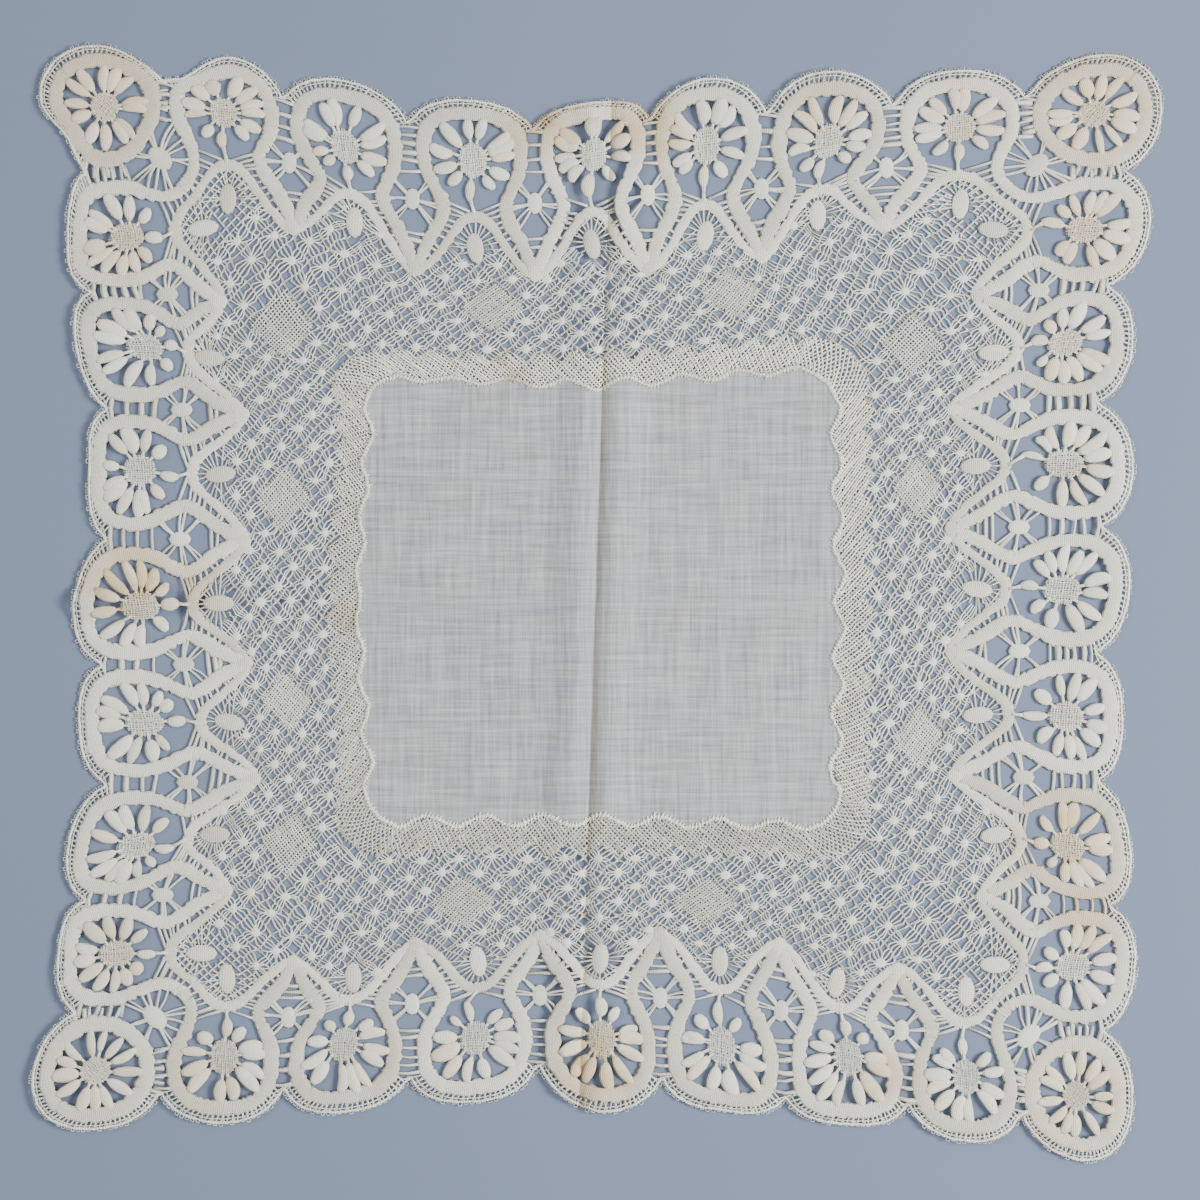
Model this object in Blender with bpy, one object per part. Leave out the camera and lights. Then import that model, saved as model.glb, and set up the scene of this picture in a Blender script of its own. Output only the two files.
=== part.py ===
"""Lace handkerchief lying face up: a worked lace border with a scalloped edge round a square of thin cloth.

The lace is laid out on a square lattice of equal steps, the pattern, and then moved to where each
scallop, point and diamond really lies, so it is as uneven as a washed and hand-laid piece.
"""

import math

import bmesh
import bpy
import numpy as np
from mathutils import Vector

MM = 0.001
WELD = 1e-6

# Sheet, in mm
THICK = 1.2
SEAM_GAP = 0.3

# Pattern, in lattice steps
FAN_PITCH = 7.25
FANS_TO_CORNER = 4
CORNER = FAN_PITCH * FANS_TO_CORNER
TIP = CORNER + 4.5
DIP = CORNER + 1.85
POINT = CORNER - 7.5
POINT_LEAN = 0.97
SPIDER = CORNER - 3.2
CORNER_SPIDER = CORNER - 3.15
FOOT = 13.8
FOOT_WAVES_END = 0.82
SCALLOP_TURN = math.radians(65)
SCALLOP_PARTS = 9
CORNER_PARTS = 17
DIP_RADIUS = math.hypot(FAN_PITCH / 2, DIP - CORNER)
DIP_TURN = math.atan2(DIP - CORNER, -FAN_PITCH / 2)
CORNER_SWELL = 0.5

# Sides go round anticlockwise: the outward direction, and the direction in which "along" grows.
SIDES = {
    "back": ((0, 1), (1, 0), -1),
    "left": ((-1, 0), (0, 1), -1),
    "front": ((0, -1), (1, 0), 1),
    "right": ((1, 0), (0, 1), 1),
}

# One row for each fan of the border, the corner fan of a side first, in mm from the middle of the cloth.
# along, out: middle of the fan. tip: edge beyond it. dip: edge after it. point: inner point after it, or
# for a corner fan the edge beyond it along the side.
FAN_ROWS = {
    "back": (
        (135.7, 133.8, 149.9, 138.3, 154.6),
        (98.8, 129.9, 145.7, 136.2, 103.3),
        (62.7, 125.7, 145.4, 133.8, 94.9),
        (29.2, 125.0, 143.3, 132.0, 91.6),
        (-1.7, 122.4, 136.6, 129.3, 89.8),
        (-35.0, 120.8, 137.3, 131.3, 91.3),
        (-70.3, 124.3, 142.9, 138.0, 102.6),
        (-103.6, 134.1, 149.2, 142.6, None),
    ),
    "left": (
        (135.5, 136.2, 153.5, 141.5, 152.4),
        (99.8, 129.6, 146.4, 140.1, 104.8),
        (69.6, 124.3, 144.0, 135.6, 98.7),
        (35.7, 126.4, 140.4, 135.9, 98.4),
        (-1.8, 125.7, 144.7, 137.0, 97.7),
        (-33.7, 125.0, 143.4, 135.9, 95.5),
        (-67.6, 127.1, 146.4, 141.5, 103.3),
        (-97.1, 132.7, 148.9, 144.3, None),
    ),
    "front": (
        (-138.7, 129.4, 145.5, 135.7, -155.9),
        (-103.3, 125.1, 143.7, 134.3, 99.9),
        (-70.7, 121.6, 140.9, 131.5, 95.0),
        (-34.3, 120.2, 138.1, 128.0, 92.9),
        (0.4, 120.2, 140.6, 131.5, 92.2),
        (33.4, 122.3, 140.3, 136.7, 95.0),
        (68.3, 125.1, 144.1, 138.5, 102.0),
        (100.6, 130.8, 148.7, 141.3, None),
    ),
    "right": (
        (-136.4, 130.8, 146.5, 138.5, -153.8),
        (-100.6, 129.4, 147.3, 140.3, 105.5),
        (-67.7, 128.0, 145.9, 137.1, 97.8),
        (-32.0, 128.0, 143.7, 136.4, 97.1),
        (2.8, 126.6, 145.5, 137.8, 97.1),
        (37.5, 127.3, 146.5, 136.7, 97.6),
        (70.7, 127.3, 146.5, 139.5, 104.1),
        (101.9, 132.9, 151.1, 144.1, None),
    ),
}

# Seam round the cloth, one row for each side, in mm: where its waves start and end along the side, how
# far out their outer turns lie at the start, the middle and the end, and how deep the waves are there.
SEAM_ROWS = {
    "back": (54.2, -56.7, (64.3, 60.5, 61.5), (2.0, 2.8, 0.9)),
    "left": (52.8, -51.6, (64.7, 67.3, 65.0), (2.9, 1.3, 3.0)),
    "front": (-55.6, 56.5, (62.3, 61.9, 63.2), (3.0, 2.9, 2.3)),
    "right": (-53.8, 52.9, (66.1, 67.4, 66.2), (3.2, 3.0, 2.8)),
}
SEAM_WAVES = 7
WAVE_PARTS = 6
SEAM_CORNER_BULGE = 2.2
SEAM_CORNER_SHARES = (0.25, 0.5, 0.75)

# Gaps of a fan and of a spider, in lattice steps from the middle of each, outward positive.
FAN_GAP = ((0.3, -1.65), (0.85, -1.6), (1.5, -1.9), (1.6, -2.45), (1.05, -3.05), (0.45, -3.25))
# across, out, half width, half length
SPIDER_GAPS = (
    (0.0, 1.62, 0.74, 0.56),
    (1.16, 0.12, 0.36, 0.62),
    (-1.16, 0.12, 0.36, 0.62),
    (0.64, -1.05, 0.36, 0.4),
    (-0.64, -1.05, 0.36, 0.4),
    (0.0, -2.0, 0.4, 0.36),
)
CORNER_SPIDER_GAPS = (
    (0.0, 1.3, 0.4, 0.32),
    (1.45, 0.6, 0.62, 0.62),
    (-1.45, 0.6, 0.62, 0.62),
    (1.15, -0.85, 0.45, 0.5),
    (-1.15, -0.85, 0.45, 0.5),
    (0.0, -1.5, 0.42, 0.42),
)
GAP_CORNERS = 6

# Folds, in mm
CREASE_BACK_X = 0.6
CREASE_FRONT_X = -3.4
CREASE_REACH = 62.0
BANK_NEAR = 4.5
BANK_FAR = 14.0
BANK_HEIGHT = 1.7
PLEAT_Y = -0.6
PLEAT_HALF = 6.5
PLEAT_HEIGHT = 2.4
PLEAT_FADES_AT = -58.0
PLEAT_FULL_AT = -118.0
LIFT_STARTS = 112.0
LIFT_FULL = 40.0
LIFT_HEIGHT = 1.3
LIFT_WAVES = 5
LIFT_PHASE = 0.6

# Finishes
ROUGHNESS = 0.9
LACE_COLOUR = (0.76, 0.73, 0.62, 1.0)
CLOTH_COLOUR = (0.56, 0.58, 0.59, 1.0)


def clear_scene():
    for thing in list(bpy.data.objects):
        bpy.data.objects.remove(thing, do_unlink=True)


def collection_named(name):
    made = bpy.data.collections.new(name)
    bpy.context.scene.collection.children.link(made)
    return made


def material_named(name, colour):
    made = bpy.data.materials.new(name)
    made.use_nodes = True
    shader = made.node_tree.nodes["Principled BSDF"]
    shader.inputs["Base Color"].default_value = colour
    shader.inputs["Roughness"].default_value = ROUGHNESS
    shader.inputs["Metallic"].default_value = 0.0
    return made


def at_side(side, along, out):
    """The point that lies this far along a side and this far out from the middle."""
    outward, forward, _ = SIDES[side]
    return (
        along * forward[0] + out * outward[0],
        along * forward[1] + out * outward[1],
    )


def pattern_steps(side):
    """Pattern places of the eight fans of a side, its first corner's fan among them."""
    turn = SIDES[side][2]
    return [turn * (number * FAN_PITCH - CORNER) for number in range(2 * FANS_TO_CORNER)]


def lie_pairs():
    """Pattern points and the places, in mm, where they lie."""
    pattern = []
    lies = []
    for side, rows in FAN_ROWS.items():
        steps = pattern_steps(side)
        turn = SIDES[side][2]
        for number, (along, out, tip, dip, point) in enumerate(rows):
            following = rows[number + 1] if number + 1 < len(rows) else next_corner(side)
            middle = (along + following[0]) / 2
            halfway = steps[number] + turn * FAN_PITCH / 2
            pairs = [((steps[number], CORNER), (along, out))]
            pairs.append(((steps[number], TIP), (along, tip)))
            pairs.append(((halfway, DIP), (middle, dip)))
            if number == 0:
                pairs.append(((-turn * TIP, CORNER), (point, out)))
            elif point:
                pairs.append(((halfway, POINT), (middle * POINT_LEAN, point)))
            for ideal, real in pairs:
                pattern.append(at_side(side, *ideal))
                lies.append(at_side(side, *real))
        for end, turn_out in ((0, 0), (1, 2)):
            edge = -turn if end == 0 else turn
            pattern.append(at_side(side, edge * FOOT * FOOT_WAVES_END, FOOT))
            lies.append(at_side(side, SEAM_ROWS[side][end], SEAM_ROWS[side][2][turn_out]))
        pattern.append(at_side(side, 0, FOOT))
        lies.append(at_side(side, 0, SEAM_ROWS[side][2][1]))
    return np.array(pattern), np.array(lies)


def next_corner(side):
    """The corner fan that ends a side, as (along, out) of that side."""
    names = list(SIDES)
    after = names[(names.index(side) + 1) % len(names)]
    x, y = at_side(after, *FAN_ROWS[after][0][:2])
    outward, forward, _ = SIDES[side]
    return (x * forward[0] + y * forward[1], x * outward[0] + y * outward[1])


def spline_kernel(first, second):
    squared = ((first[:, None, :] - second[None, :, :]) ** 2).sum(axis=2)
    return squared * np.log(squared + 1e-12) / 2


def thin_plate(pattern, lies):
    """A smooth map of the plane that takes every pattern point to where it lies."""
    count = len(pattern)
    flat = np.hstack([np.ones((count, 1)), pattern])
    system = np.zeros((count + 3, count + 3))
    system[:count, :count] = spline_kernel(pattern, pattern)
    system[:count, count:] = flat
    system[count:, :count] = flat.T
    weights = np.linalg.solve(system, np.vstack([lies, np.zeros((3, 2))]))

    def moved(points):
        points = np.asarray(points, float)
        ones = np.ones((len(points), 1))
        return np.hstack([spline_kernel(points, pattern), ones, points]) @ weights

    return moved


def edge_outline():
    """The scalloped edge in the pattern, anticlockwise from the first corner."""
    points = []
    drop = math.cos(SCALLOP_TURN)
    for side in SIDES:
        turn = SIDES[side][2]
        sweep = 2 * DIP_TURN - math.pi / 2
        for part in range(CORNER_PARTS):
            share = part / CORNER_PARTS
            angle = math.pi / 2 - DIP_TURN + sweep * share
            radius = DIP_RADIUS + CORNER_SWELL * math.sin(math.pi * share)
            along = -turn * (CORNER + radius * math.cos(angle))
            points.append(at_side(side, along, CORNER + radius * math.sin(angle)))
        for step in pattern_steps(side)[1:]:
            for part in range(SCALLOP_PARTS):
                angle = SCALLOP_TURN * (2 * part / SCALLOP_PARTS - 1)
                along = step + turn * FAN_PITCH / 2 * math.sin(angle) / math.sin(SCALLOP_TURN)
                rise = (TIP - DIP) * (math.cos(angle) - drop) / (1 - drop)
                points.append(at_side(side, along, DIP + rise))
    return points


def three_point(values, share):
    """Between a start, a middle and an end value."""
    if share < 0.5:
        return values[0] + (values[1] - values[0]) * share * 2
    return values[1] + (values[2] - values[1]) * (share * 2 - 1)


def seam_outline(inset):
    """The wavy seam in mm, anticlockwise, moved toward the middle by inset."""
    points = []
    for side, (start, end, outs, depths) in SEAM_ROWS.items():
        parts = SEAM_WAVES * WAVE_PARTS
        for part in range(parts + 1):
            share = part / parts
            wave = math.sin(math.pi * SEAM_WAVES * share) ** 2
            out = three_point(outs, share) - three_point(depths, share) * wave
            points.append(at_side(side, start + (end - start) * share, out - inset))
        names = list(SIDES)
        after = names[(names.index(side) + 1) % len(names)]
        next_start = Vector(at_side(after, SEAM_ROWS[after][0], SEAM_ROWS[after][2][0] - inset))
        last = Vector(points[-1])
        bulge = (last + next_start).normalized() * SEAM_CORNER_BULGE
        for share in SEAM_CORNER_SHARES:
            between = last.lerp(next_start, share) + bulge * math.sin(math.pi * share)
            points.append(tuple(between))
    return points


def gap_outlines():
    """Every open gap in the pattern: two under the middle of each side fan, six round each spider."""
    gaps = []
    for side in SIDES:
        turn = SIDES[side][2]
        for step in pattern_steps(side)[1:]:
            for hand in (-1, 1):
                gaps.append(
                    [
                        at_side(side, step + hand * across, CORNER + out)
                        for across, out in FAN_GAP[::hand]
                    ]
                )
        for step in pattern_steps(side)[1:-1]:
            middle = step + turn * FAN_PITCH / 2
            gaps.extend(spider_gaps(side, (middle, SPIDER), SPIDER_GAPS, 0.0))
        corner = (-turn * CORNER_SPIDER, CORNER_SPIDER)
        slant = turn * math.pi / 4
        gaps.extend(spider_gaps(side, corner, CORNER_SPIDER_GAPS, slant))
    return gaps


def spider_gaps(side, centre, rows, slant):
    """The gaps round one spider, turned by slant."""
    found = []
    for across, out, half_width, half_length in rows:
        outline = []
        for corner in range(GAP_CORNERS):
            angle = 2 * math.pi * (corner + 0.5) / GAP_CORNERS
            a = across + half_width * math.cos(angle)
            b = out + half_length * math.sin(angle)
            along = a * math.cos(slant) - b * math.sin(slant)
            outward = a * math.sin(slant) + b * math.cos(slant)
            outline.append(at_side(side, centre[0] + along, centre[1] + outward))
        found.append(outline)
    return found


def crease_offset(x, y):
    """Distance to the right of the long crease."""
    share = (y + CREASE_REACH) / (2 * CREASE_REACH)
    return x - (CREASE_FRONT_X + (CREASE_BACK_X - CREASE_FRONT_X) * share)


def lie_height(x, y):
    """How far the underside lies above the surface, in mm."""
    away = abs(crease_offset(x, y))
    if away < BANK_NEAR:
        bank = away / BANK_NEAR
    else:
        bank = max(0.0, (BANK_FAR - away) / (BANK_FAR - BANK_NEAR))
    grip = min(1.0, max(0.0, (PLEAT_FADES_AT - x) / (PLEAT_FADES_AT - PLEAT_FULL_AT)))
    ridge = max(0.0, 1 - abs(y - PLEAT_Y) / PLEAT_HALF) * grip
    reach = max(abs(x), abs(y)) - LIFT_STARTS
    lift = min(1.0, max(0.0, reach / LIFT_FULL))
    wave = 0.5 + 0.5 * math.sin(LIFT_WAVES * math.atan2(y, x) + LIFT_PHASE)
    return max(BANK_HEIGHT * bank, PLEAT_HEIGHT * ridge, LIFT_HEIGHT * lift * wave)


def sheet_from(name, outlines, material, home):
    """A flat sheet bounded by the first outline, with the others cut out, in mm."""
    curve = bpy.data.curves.new(name, "CURVE")
    curve.dimensions = "2D"
    curve.fill_mode = "BOTH"
    curve.extrude = THICK * MM / 2
    for outline in outlines:
        spline = curve.splines.new("POLY")
        spline.points.add(len(outline) - 1)
        spline.use_cyclic_u = True
        for point, (x, y) in zip(spline.points, outline):
            point.co = (x * MM, y * MM, 0.0, 1.0)
    guide = bpy.data.objects.new(name + "_outline", curve)
    home.objects.link(guide)
    bpy.context.view_layer.update()
    graph = bpy.context.evaluated_depsgraph_get()
    mesh = bpy.data.meshes.new_from_object(guide.evaluated_get(graph))
    bpy.data.objects.remove(guide, do_unlink=True)
    mesh.name = name
    mesh.materials.clear()
    mesh.materials.append(material)
    made = bpy.data.objects.new(name, mesh)
    home.objects.link(made)
    return made


def cut_along(bm, point, direction, keep=lambda centre: True):
    """Adds edges where a fold line crosses the sheet, so it can bend there."""
    normal = Vector((-direction[1], direction[0], 0.0)).normalized()
    faces = [face for face in bm.faces if keep(face.calc_center_median())]
    edges = {edge for face in faces for edge in face.edges}
    corners = {vert for face in faces for vert in face.verts}
    bmesh.ops.bisect_plane(
        bm,
        geom=faces + list(edges) + list(corners),
        dist=WELD,
        plane_co=Vector((point[0] * MM, point[1] * MM, 0.0)),
        plane_no=normal,
    )


def lay(made, middle):
    """Bends a flat sheet into its folds and puts it on the surface."""
    bm = bmesh.new()
    bm.from_mesh(made.data)
    bmesh.ops.remove_doubles(bm, verts=bm.verts, dist=WELD)
    flat = [face for face in bm.faces if abs(face.normal.z) > 0.5]
    rim = {edge for face in bm.faces if abs(face.normal.z) <= 0.5 for edge in face.edges}
    inner = [edge for edge in bm.edges if edge not in rim]
    bmesh.ops.beautify_fill(bm, faces=flat, edges=inner)
    slope = (CREASE_BACK_X - CREASE_FRONT_X, 2 * CREASE_REACH)
    start_x = (CREASE_BACK_X + CREASE_FRONT_X) / 2
    for away in (-BANK_FAR, -BANK_NEAR, 0.0, BANK_NEAR, BANK_FAR):
        cut_along(bm, (start_x + away, 0.0), slope)
    for away in (-PLEAT_HALF, 0.0, PLEAT_HALF):
        cut_along(
            bm,
            (0.0, PLEAT_Y + away),
            (1.0, 0.0),
            keep=lambda centre: centre.x < PLEAT_FADES_AT * MM,
        )
    for vert in bm.verts:
        x = vert.co.x / MM
        y = vert.co.y / MM
        vert.co.z += (THICK / 2 + lie_height(x, y)) * MM
        vert.co.x -= middle[0] * MM
        vert.co.y -= middle[1] * MM
    bmesh.ops.triangulate(bm, faces=bm.faces)
    bmesh.ops.recalc_face_normals(bm, faces=bm.faces)
    bm.to_mesh(made.data)
    bm.free()


def build():
    clear_scene()
    home = collection_named("lace_handkerchief")
    moved = thin_plate(*lie_pairs())
    edge = moved(edge_outline())
    gaps = [moved(gap) for gap in gap_outlines()]
    middle = (edge.min(axis=0) + edge.max(axis=0)) / 2
    border = sheet_from(
        "lace_border",
        [edge, seam_outline(-SEAM_GAP / 2)] + gaps,
        material_named("cream_linen_lace", LACE_COLOUR),
        home,
    )
    centre = sheet_from(
        "centre_cloth",
        [seam_outline(SEAM_GAP / 2)],
        material_named("sheer_white_cloth", CLOTH_COLOUR),
        home,
    )
    for sheet in (border, centre):
        lay(sheet, middle)


build()
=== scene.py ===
# %% [markdown]
# # A lace handkerchief
#
# The real piece is a wide border of bobbin lace round a small square of thin cloth. It lies face up on
# a table, a little pulled out of square by many washings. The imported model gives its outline, its
# larger gaps and its folds as two plain sheets. Here both are replaced by what they stand for: threads.

import math

import bmesh
import bpy
import numpy as np
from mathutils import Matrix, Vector


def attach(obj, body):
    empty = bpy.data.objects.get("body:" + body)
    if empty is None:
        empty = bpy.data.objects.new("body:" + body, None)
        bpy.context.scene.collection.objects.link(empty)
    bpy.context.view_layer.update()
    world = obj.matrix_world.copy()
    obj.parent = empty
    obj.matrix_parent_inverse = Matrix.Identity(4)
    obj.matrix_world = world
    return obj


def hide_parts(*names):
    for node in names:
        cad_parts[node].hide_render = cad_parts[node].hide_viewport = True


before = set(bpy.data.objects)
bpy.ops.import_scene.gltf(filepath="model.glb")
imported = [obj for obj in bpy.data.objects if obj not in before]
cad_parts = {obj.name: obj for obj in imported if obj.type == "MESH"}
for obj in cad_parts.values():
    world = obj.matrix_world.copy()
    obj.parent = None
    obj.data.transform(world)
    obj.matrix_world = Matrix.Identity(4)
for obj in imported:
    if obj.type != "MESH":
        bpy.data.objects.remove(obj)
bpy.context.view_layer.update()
MM = 0.001
print("packed nodes:", sorted(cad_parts))

# %% [markdown]
# ## The pattern and where it lies
#
# A lacemaker pins the work over a pricking, a card with holes on a square lattice. In the pattern every
# fan is alike. On the table each fan, scallop and point has moved, so the tables below say where they
# lie, in millimetres from the middle, one row for each fan of a side. The same tables make the model's
# solids, so the threads fall on them.

# %% Pattern sizes and tables
FAN_PITCH = 7.25
FANS_TO_CORNER = 4
CORNER = FAN_PITCH * FANS_TO_CORNER
TIP = CORNER + 4.5
DIP = CORNER + 1.85
POINT = CORNER - 7.5
POINT_LEAN = 0.97
FOOT = 13.8
FOOT_WAVES_END = 0.82
SCALLOP_TURN = math.radians(65)
DIP_RADIUS = math.hypot(FAN_PITCH / 2, DIP - CORNER)
DIP_TURN = math.atan2(DIP - CORNER, -FAN_PITCH / 2)
CORNER_SWELL = 0.5
STEP_MM = 4.45

SIDES = {
    "back": ((0, 1), (1, 0), -1),
    "left": ((-1, 0), (0, 1), -1),
    "front": ((0, -1), (1, 0), 1),
    "right": ((1, 0), (0, 1), 1),
}
FAN_ROWS = {
    "back": (
        (135.7, 133.8, 149.9, 138.3, 154.6),
        (98.8, 129.9, 145.7, 136.2, 103.3),
        (62.7, 125.7, 145.4, 133.8, 94.9),
        (29.2, 125.0, 143.3, 132.0, 91.6),
        (-1.7, 122.4, 136.6, 129.3, 89.8),
        (-35.0, 120.8, 137.3, 131.3, 91.3),
        (-70.3, 124.3, 142.9, 138.0, 102.6),
        (-103.6, 134.1, 149.2, 142.6, None),
    ),
    "left": (
        (135.5, 136.2, 153.5, 141.5, 152.4),
        (99.8, 129.6, 146.4, 140.1, 104.8),
        (69.6, 124.3, 144.0, 135.6, 98.7),
        (35.7, 126.4, 140.4, 135.9, 98.4),
        (-1.8, 125.7, 144.7, 137.0, 97.7),
        (-33.7, 125.0, 143.4, 135.9, 95.5),
        (-67.6, 127.1, 146.4, 141.5, 103.3),
        (-97.1, 132.7, 148.9, 144.3, None),
    ),
    "front": (
        (-138.7, 129.4, 145.5, 135.7, -155.9),
        (-103.3, 125.1, 143.7, 134.3, 99.9),
        (-70.7, 121.6, 140.9, 131.5, 95.0),
        (-34.3, 120.2, 138.1, 128.0, 92.9),
        (0.4, 120.2, 140.6, 131.5, 92.2),
        (33.4, 122.3, 140.3, 136.7, 95.0),
        (68.3, 125.1, 144.1, 138.5, 102.0),
        (100.6, 130.8, 148.7, 141.3, None),
    ),
    "right": (
        (-136.4, 130.8, 146.5, 138.5, -153.8),
        (-100.6, 129.4, 147.3, 140.3, 105.5),
        (-67.7, 128.0, 145.9, 137.1, 97.8),
        (-32.0, 128.0, 143.7, 136.4, 97.1),
        (2.8, 126.6, 145.5, 137.8, 97.1),
        (37.5, 127.3, 146.5, 136.7, 97.6),
        (70.7, 127.3, 146.5, 139.5, 104.1),
        (101.9, 132.9, 151.1, 144.1, None),
    ),
}
SEAM_ROWS = {
    "back": (54.2, -56.7, (64.3, 60.5, 61.5), (2.0, 2.8, 0.9)),
    "left": (52.8, -51.6, (64.7, 67.3, 65.0), (2.9, 1.3, 3.0)),
    "front": (-55.6, 56.5, (62.3, 61.9, 63.2), (3.0, 2.9, 2.3)),
    "right": (-53.8, 52.9, (66.1, 67.4, 66.2), (3.2, 3.0, 2.8)),
}
SEAM_WAVES = 7
SEAM_CORNER_BULGE = 2.2
# Woven diamonds of the net: pattern crossing in the middle, and where it lies in mm.
DIAMONDS = (
    ((-6, 19), (-29.8, 80.5)),
    ((8, 19), (36.2, 84.3)),
    ((18, 15), (85.9, 69.9)),
    ((19, 6), (86.9, 31.2)),
    ((19, -8), (87.3, -38.3)),
    ((6, -19), (28.8, -83.1)),
    ((-8, -19), (-37.8, -83.1)),
    ((-18, -15), (-85.7, -66.6)),
    ((-19, -6), (-86.1, -27.8)),
    ((-19, 6), (-87.1, 28.0)),
    ((-18, 17), (-87.8, 74.9)),
)
# Places where the scalloped edge was dragged in: pattern point, and where it lies in mm.
EDGE_TUGS = (
    ((-24.3, 32.4), (-114.8, 143.4)),
    ((-32.5, 26.5), (-146.4, 126.6)),
)

# %% [markdown]
# The smooth map from pattern to table is a thin-plate spline: it takes every listed point exactly to
# its place and bends as little as it can between them, as a net of threads does when it is pulled.

# %% The map from pattern to table


def at_side(side, along, out):
    """Pattern points this far along a side and this far out from the middle."""
    outward, forward, _ = SIDES[side]
    along = np.asarray(along, float)
    out = np.asarray(out, float)
    x = along * forward[0] + out * outward[0]
    y = along * forward[1] + out * outward[1]
    return np.stack([x, y], axis=-1)


def pattern_steps(side):
    turn = SIDES[side][2]
    return [turn * (number * FAN_PITCH - CORNER) for number in range(2 * FANS_TO_CORNER)]


def next_side(side):
    names = list(SIDES)
    return names[(names.index(side) + 1) % len(names)]


def next_corner(side):
    after = next_side(side)
    x, y = at_side(after, *FAN_ROWS[after][0][:2])
    outward, forward, _ = SIDES[side]
    return (x * forward[0] + y * forward[1], x * outward[0] + y * outward[1])


def lie_pairs():
    """Pattern points and the places, in mm, where they lie."""
    pattern = []
    lies = []
    for side, rows in FAN_ROWS.items():
        steps = pattern_steps(side)
        turn = SIDES[side][2]
        for number, (along, out, tip, dip, point) in enumerate(rows):
            following = rows[number + 1] if number + 1 < len(rows) else next_corner(side)
            middle = (along + following[0]) / 2
            halfway = steps[number] + turn * FAN_PITCH / 2
            pairs = [((steps[number], CORNER), (along, out))]
            pairs.append(((steps[number], TIP), (along, tip)))
            pairs.append(((halfway, DIP), (middle, dip)))
            if number == 0:
                pairs.append(((-turn * TIP, CORNER), (point, out)))
            elif point:
                pairs.append(((halfway, POINT), (middle * POINT_LEAN, point)))
            for ideal, real in pairs:
                pattern.append(at_side(side, *ideal))
                lies.append(at_side(side, *real))
        for end, turn_out in ((0, 0), (1, 2)):
            edge = -turn if end == 0 else turn
            pattern.append(at_side(side, edge * FOOT * FOOT_WAVES_END, FOOT))
            lies.append(at_side(side, SEAM_ROWS[side][end], SEAM_ROWS[side][2][turn_out]))
        pattern.append(at_side(side, 0, FOOT))
        lies.append(at_side(side, 0, SEAM_ROWS[side][2][1]))
    return np.array(pattern), np.array(lies)


def spline_kernel(first, second):
    squared = ((first[:, None, :] - second[None, :, :]) ** 2).sum(axis=2)
    return squared * np.log(squared + 1e-12) / 2


def thin_plate(pattern, lies):
    """A smooth map of the plane that takes every pattern point to where it lies."""
    count = len(pattern)
    flat = np.hstack([np.ones((count, 1)), pattern])
    system = np.zeros((count + 3, count + 3))
    system[:count, :count] = spline_kernel(pattern, pattern)
    system[:count, count:] = flat
    system[count:, :count] = flat.T
    weights = np.linalg.solve(system, np.vstack([lies, np.zeros((3, 2))]))

    def moved(points):
        points = np.asarray(points, float)
        flat_points = points.reshape(-1, 2)
        ones = np.ones((len(flat_points), 1))
        found = np.hstack([spline_kernel(flat_points, pattern), ones, flat_points]) @ weights
        return found.reshape(points.shape)

    return moved


def edge_outline(scallop_parts=27, corner_parts=51):
    """The scalloped edge in the pattern, anticlockwise, with the fan each point belongs to."""
    points = []
    drop = math.cos(SCALLOP_TURN)
    for side in SIDES:
        turn = SIDES[side][2]
        sweep = 2 * DIP_TURN - math.pi / 2
        for part in range(corner_parts):
            share = part / corner_parts
            angle = math.pi / 2 - DIP_TURN + sweep * share
            radius = DIP_RADIUS + CORNER_SWELL * math.sin(math.pi * share)
            along = -turn * (CORNER + radius * math.cos(angle))
            points.append(at_side(side, along, CORNER + radius * math.sin(angle)))
        for step in pattern_steps(side)[1:]:
            for part in range(scallop_parts):
                angle = SCALLOP_TURN * (2 * part / scallop_parts - 1)
                along = step + turn * FAN_PITCH / 2 * math.sin(angle) / math.sin(SCALLOP_TURN)
                rise = (TIP - DIP) * (math.cos(angle) - drop) / (1 - drop)
                points.append(at_side(side, along, DIP + rise))
    return np.array(points)


plan, places = lie_pairs()
coarse_edge = thin_plate(plan, places)(edge_outline(9, 17))
middle = (coarse_edge.min(axis=0) + coarse_edge.max(axis=0)) / 2
tugs = DIAMONDS + EDGE_TUGS
lay_out = thin_plate(
    np.vstack([plan, [in_plan for in_plan, _ in tugs]]),
    np.vstack([places, [lies for _, lies in tugs]]),
)
print("middle of the outline, mm:", middle.round(2))


def lay_net(points):
    """The same map, with the small unevenness of a net that was never pulled quite true."""
    u = points[..., 0]
    v = points[..., 1]
    du = 0.07 * np.sin(2.9 * u + 1.7 * v) + 0.06 * np.sin(1.1 * u - 3.7 * v + 1.0)
    dv = 0.07 * np.sin(3.3 * v - 1.3 * u + 2.0) + 0.05 * np.sin(4.1 * u + 0.7 * v)
    return lay_out(points + np.stack([du, dv], axis=-1))

# %% [markdown]
# ## The folds
#
# The handkerchief was kept folded in four. The long crease still stands as a sharp valley between two
# soft banks, the cross pleat shows only at the left fan, and the rim curls up here and there. On cloth
# such creases are soft, so each is a smooth bump or trough of the height, listed one by one.

# %% The lie of the cloth
CREASE_BACK_X = 0.6
CREASE_FRONT_X = -3.4
CREASE_REACH = 62.0
BANK_NEAR = 4.5
BANK_FAR = 14.0
BANK_HEIGHT = 1.7
PLEAT_Y = -0.6
PLEAT_HALF = 6.5
PLEAT_HEIGHT = 2.4
PLEAT_FADES_AT = -58.0
PLEAT_FULL_AT = -118.0
LIFT_STARTS = 112.0
LIFT_FULL = 40.0
LIFT_HEIGHT = 1.3
LIFT_WAVES = 5
LIFT_PHASE = 0.6


def eased(share):
    share = np.clip(share, 0.0, 1.0)
    return share * share * (3 - 2 * share)


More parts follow.
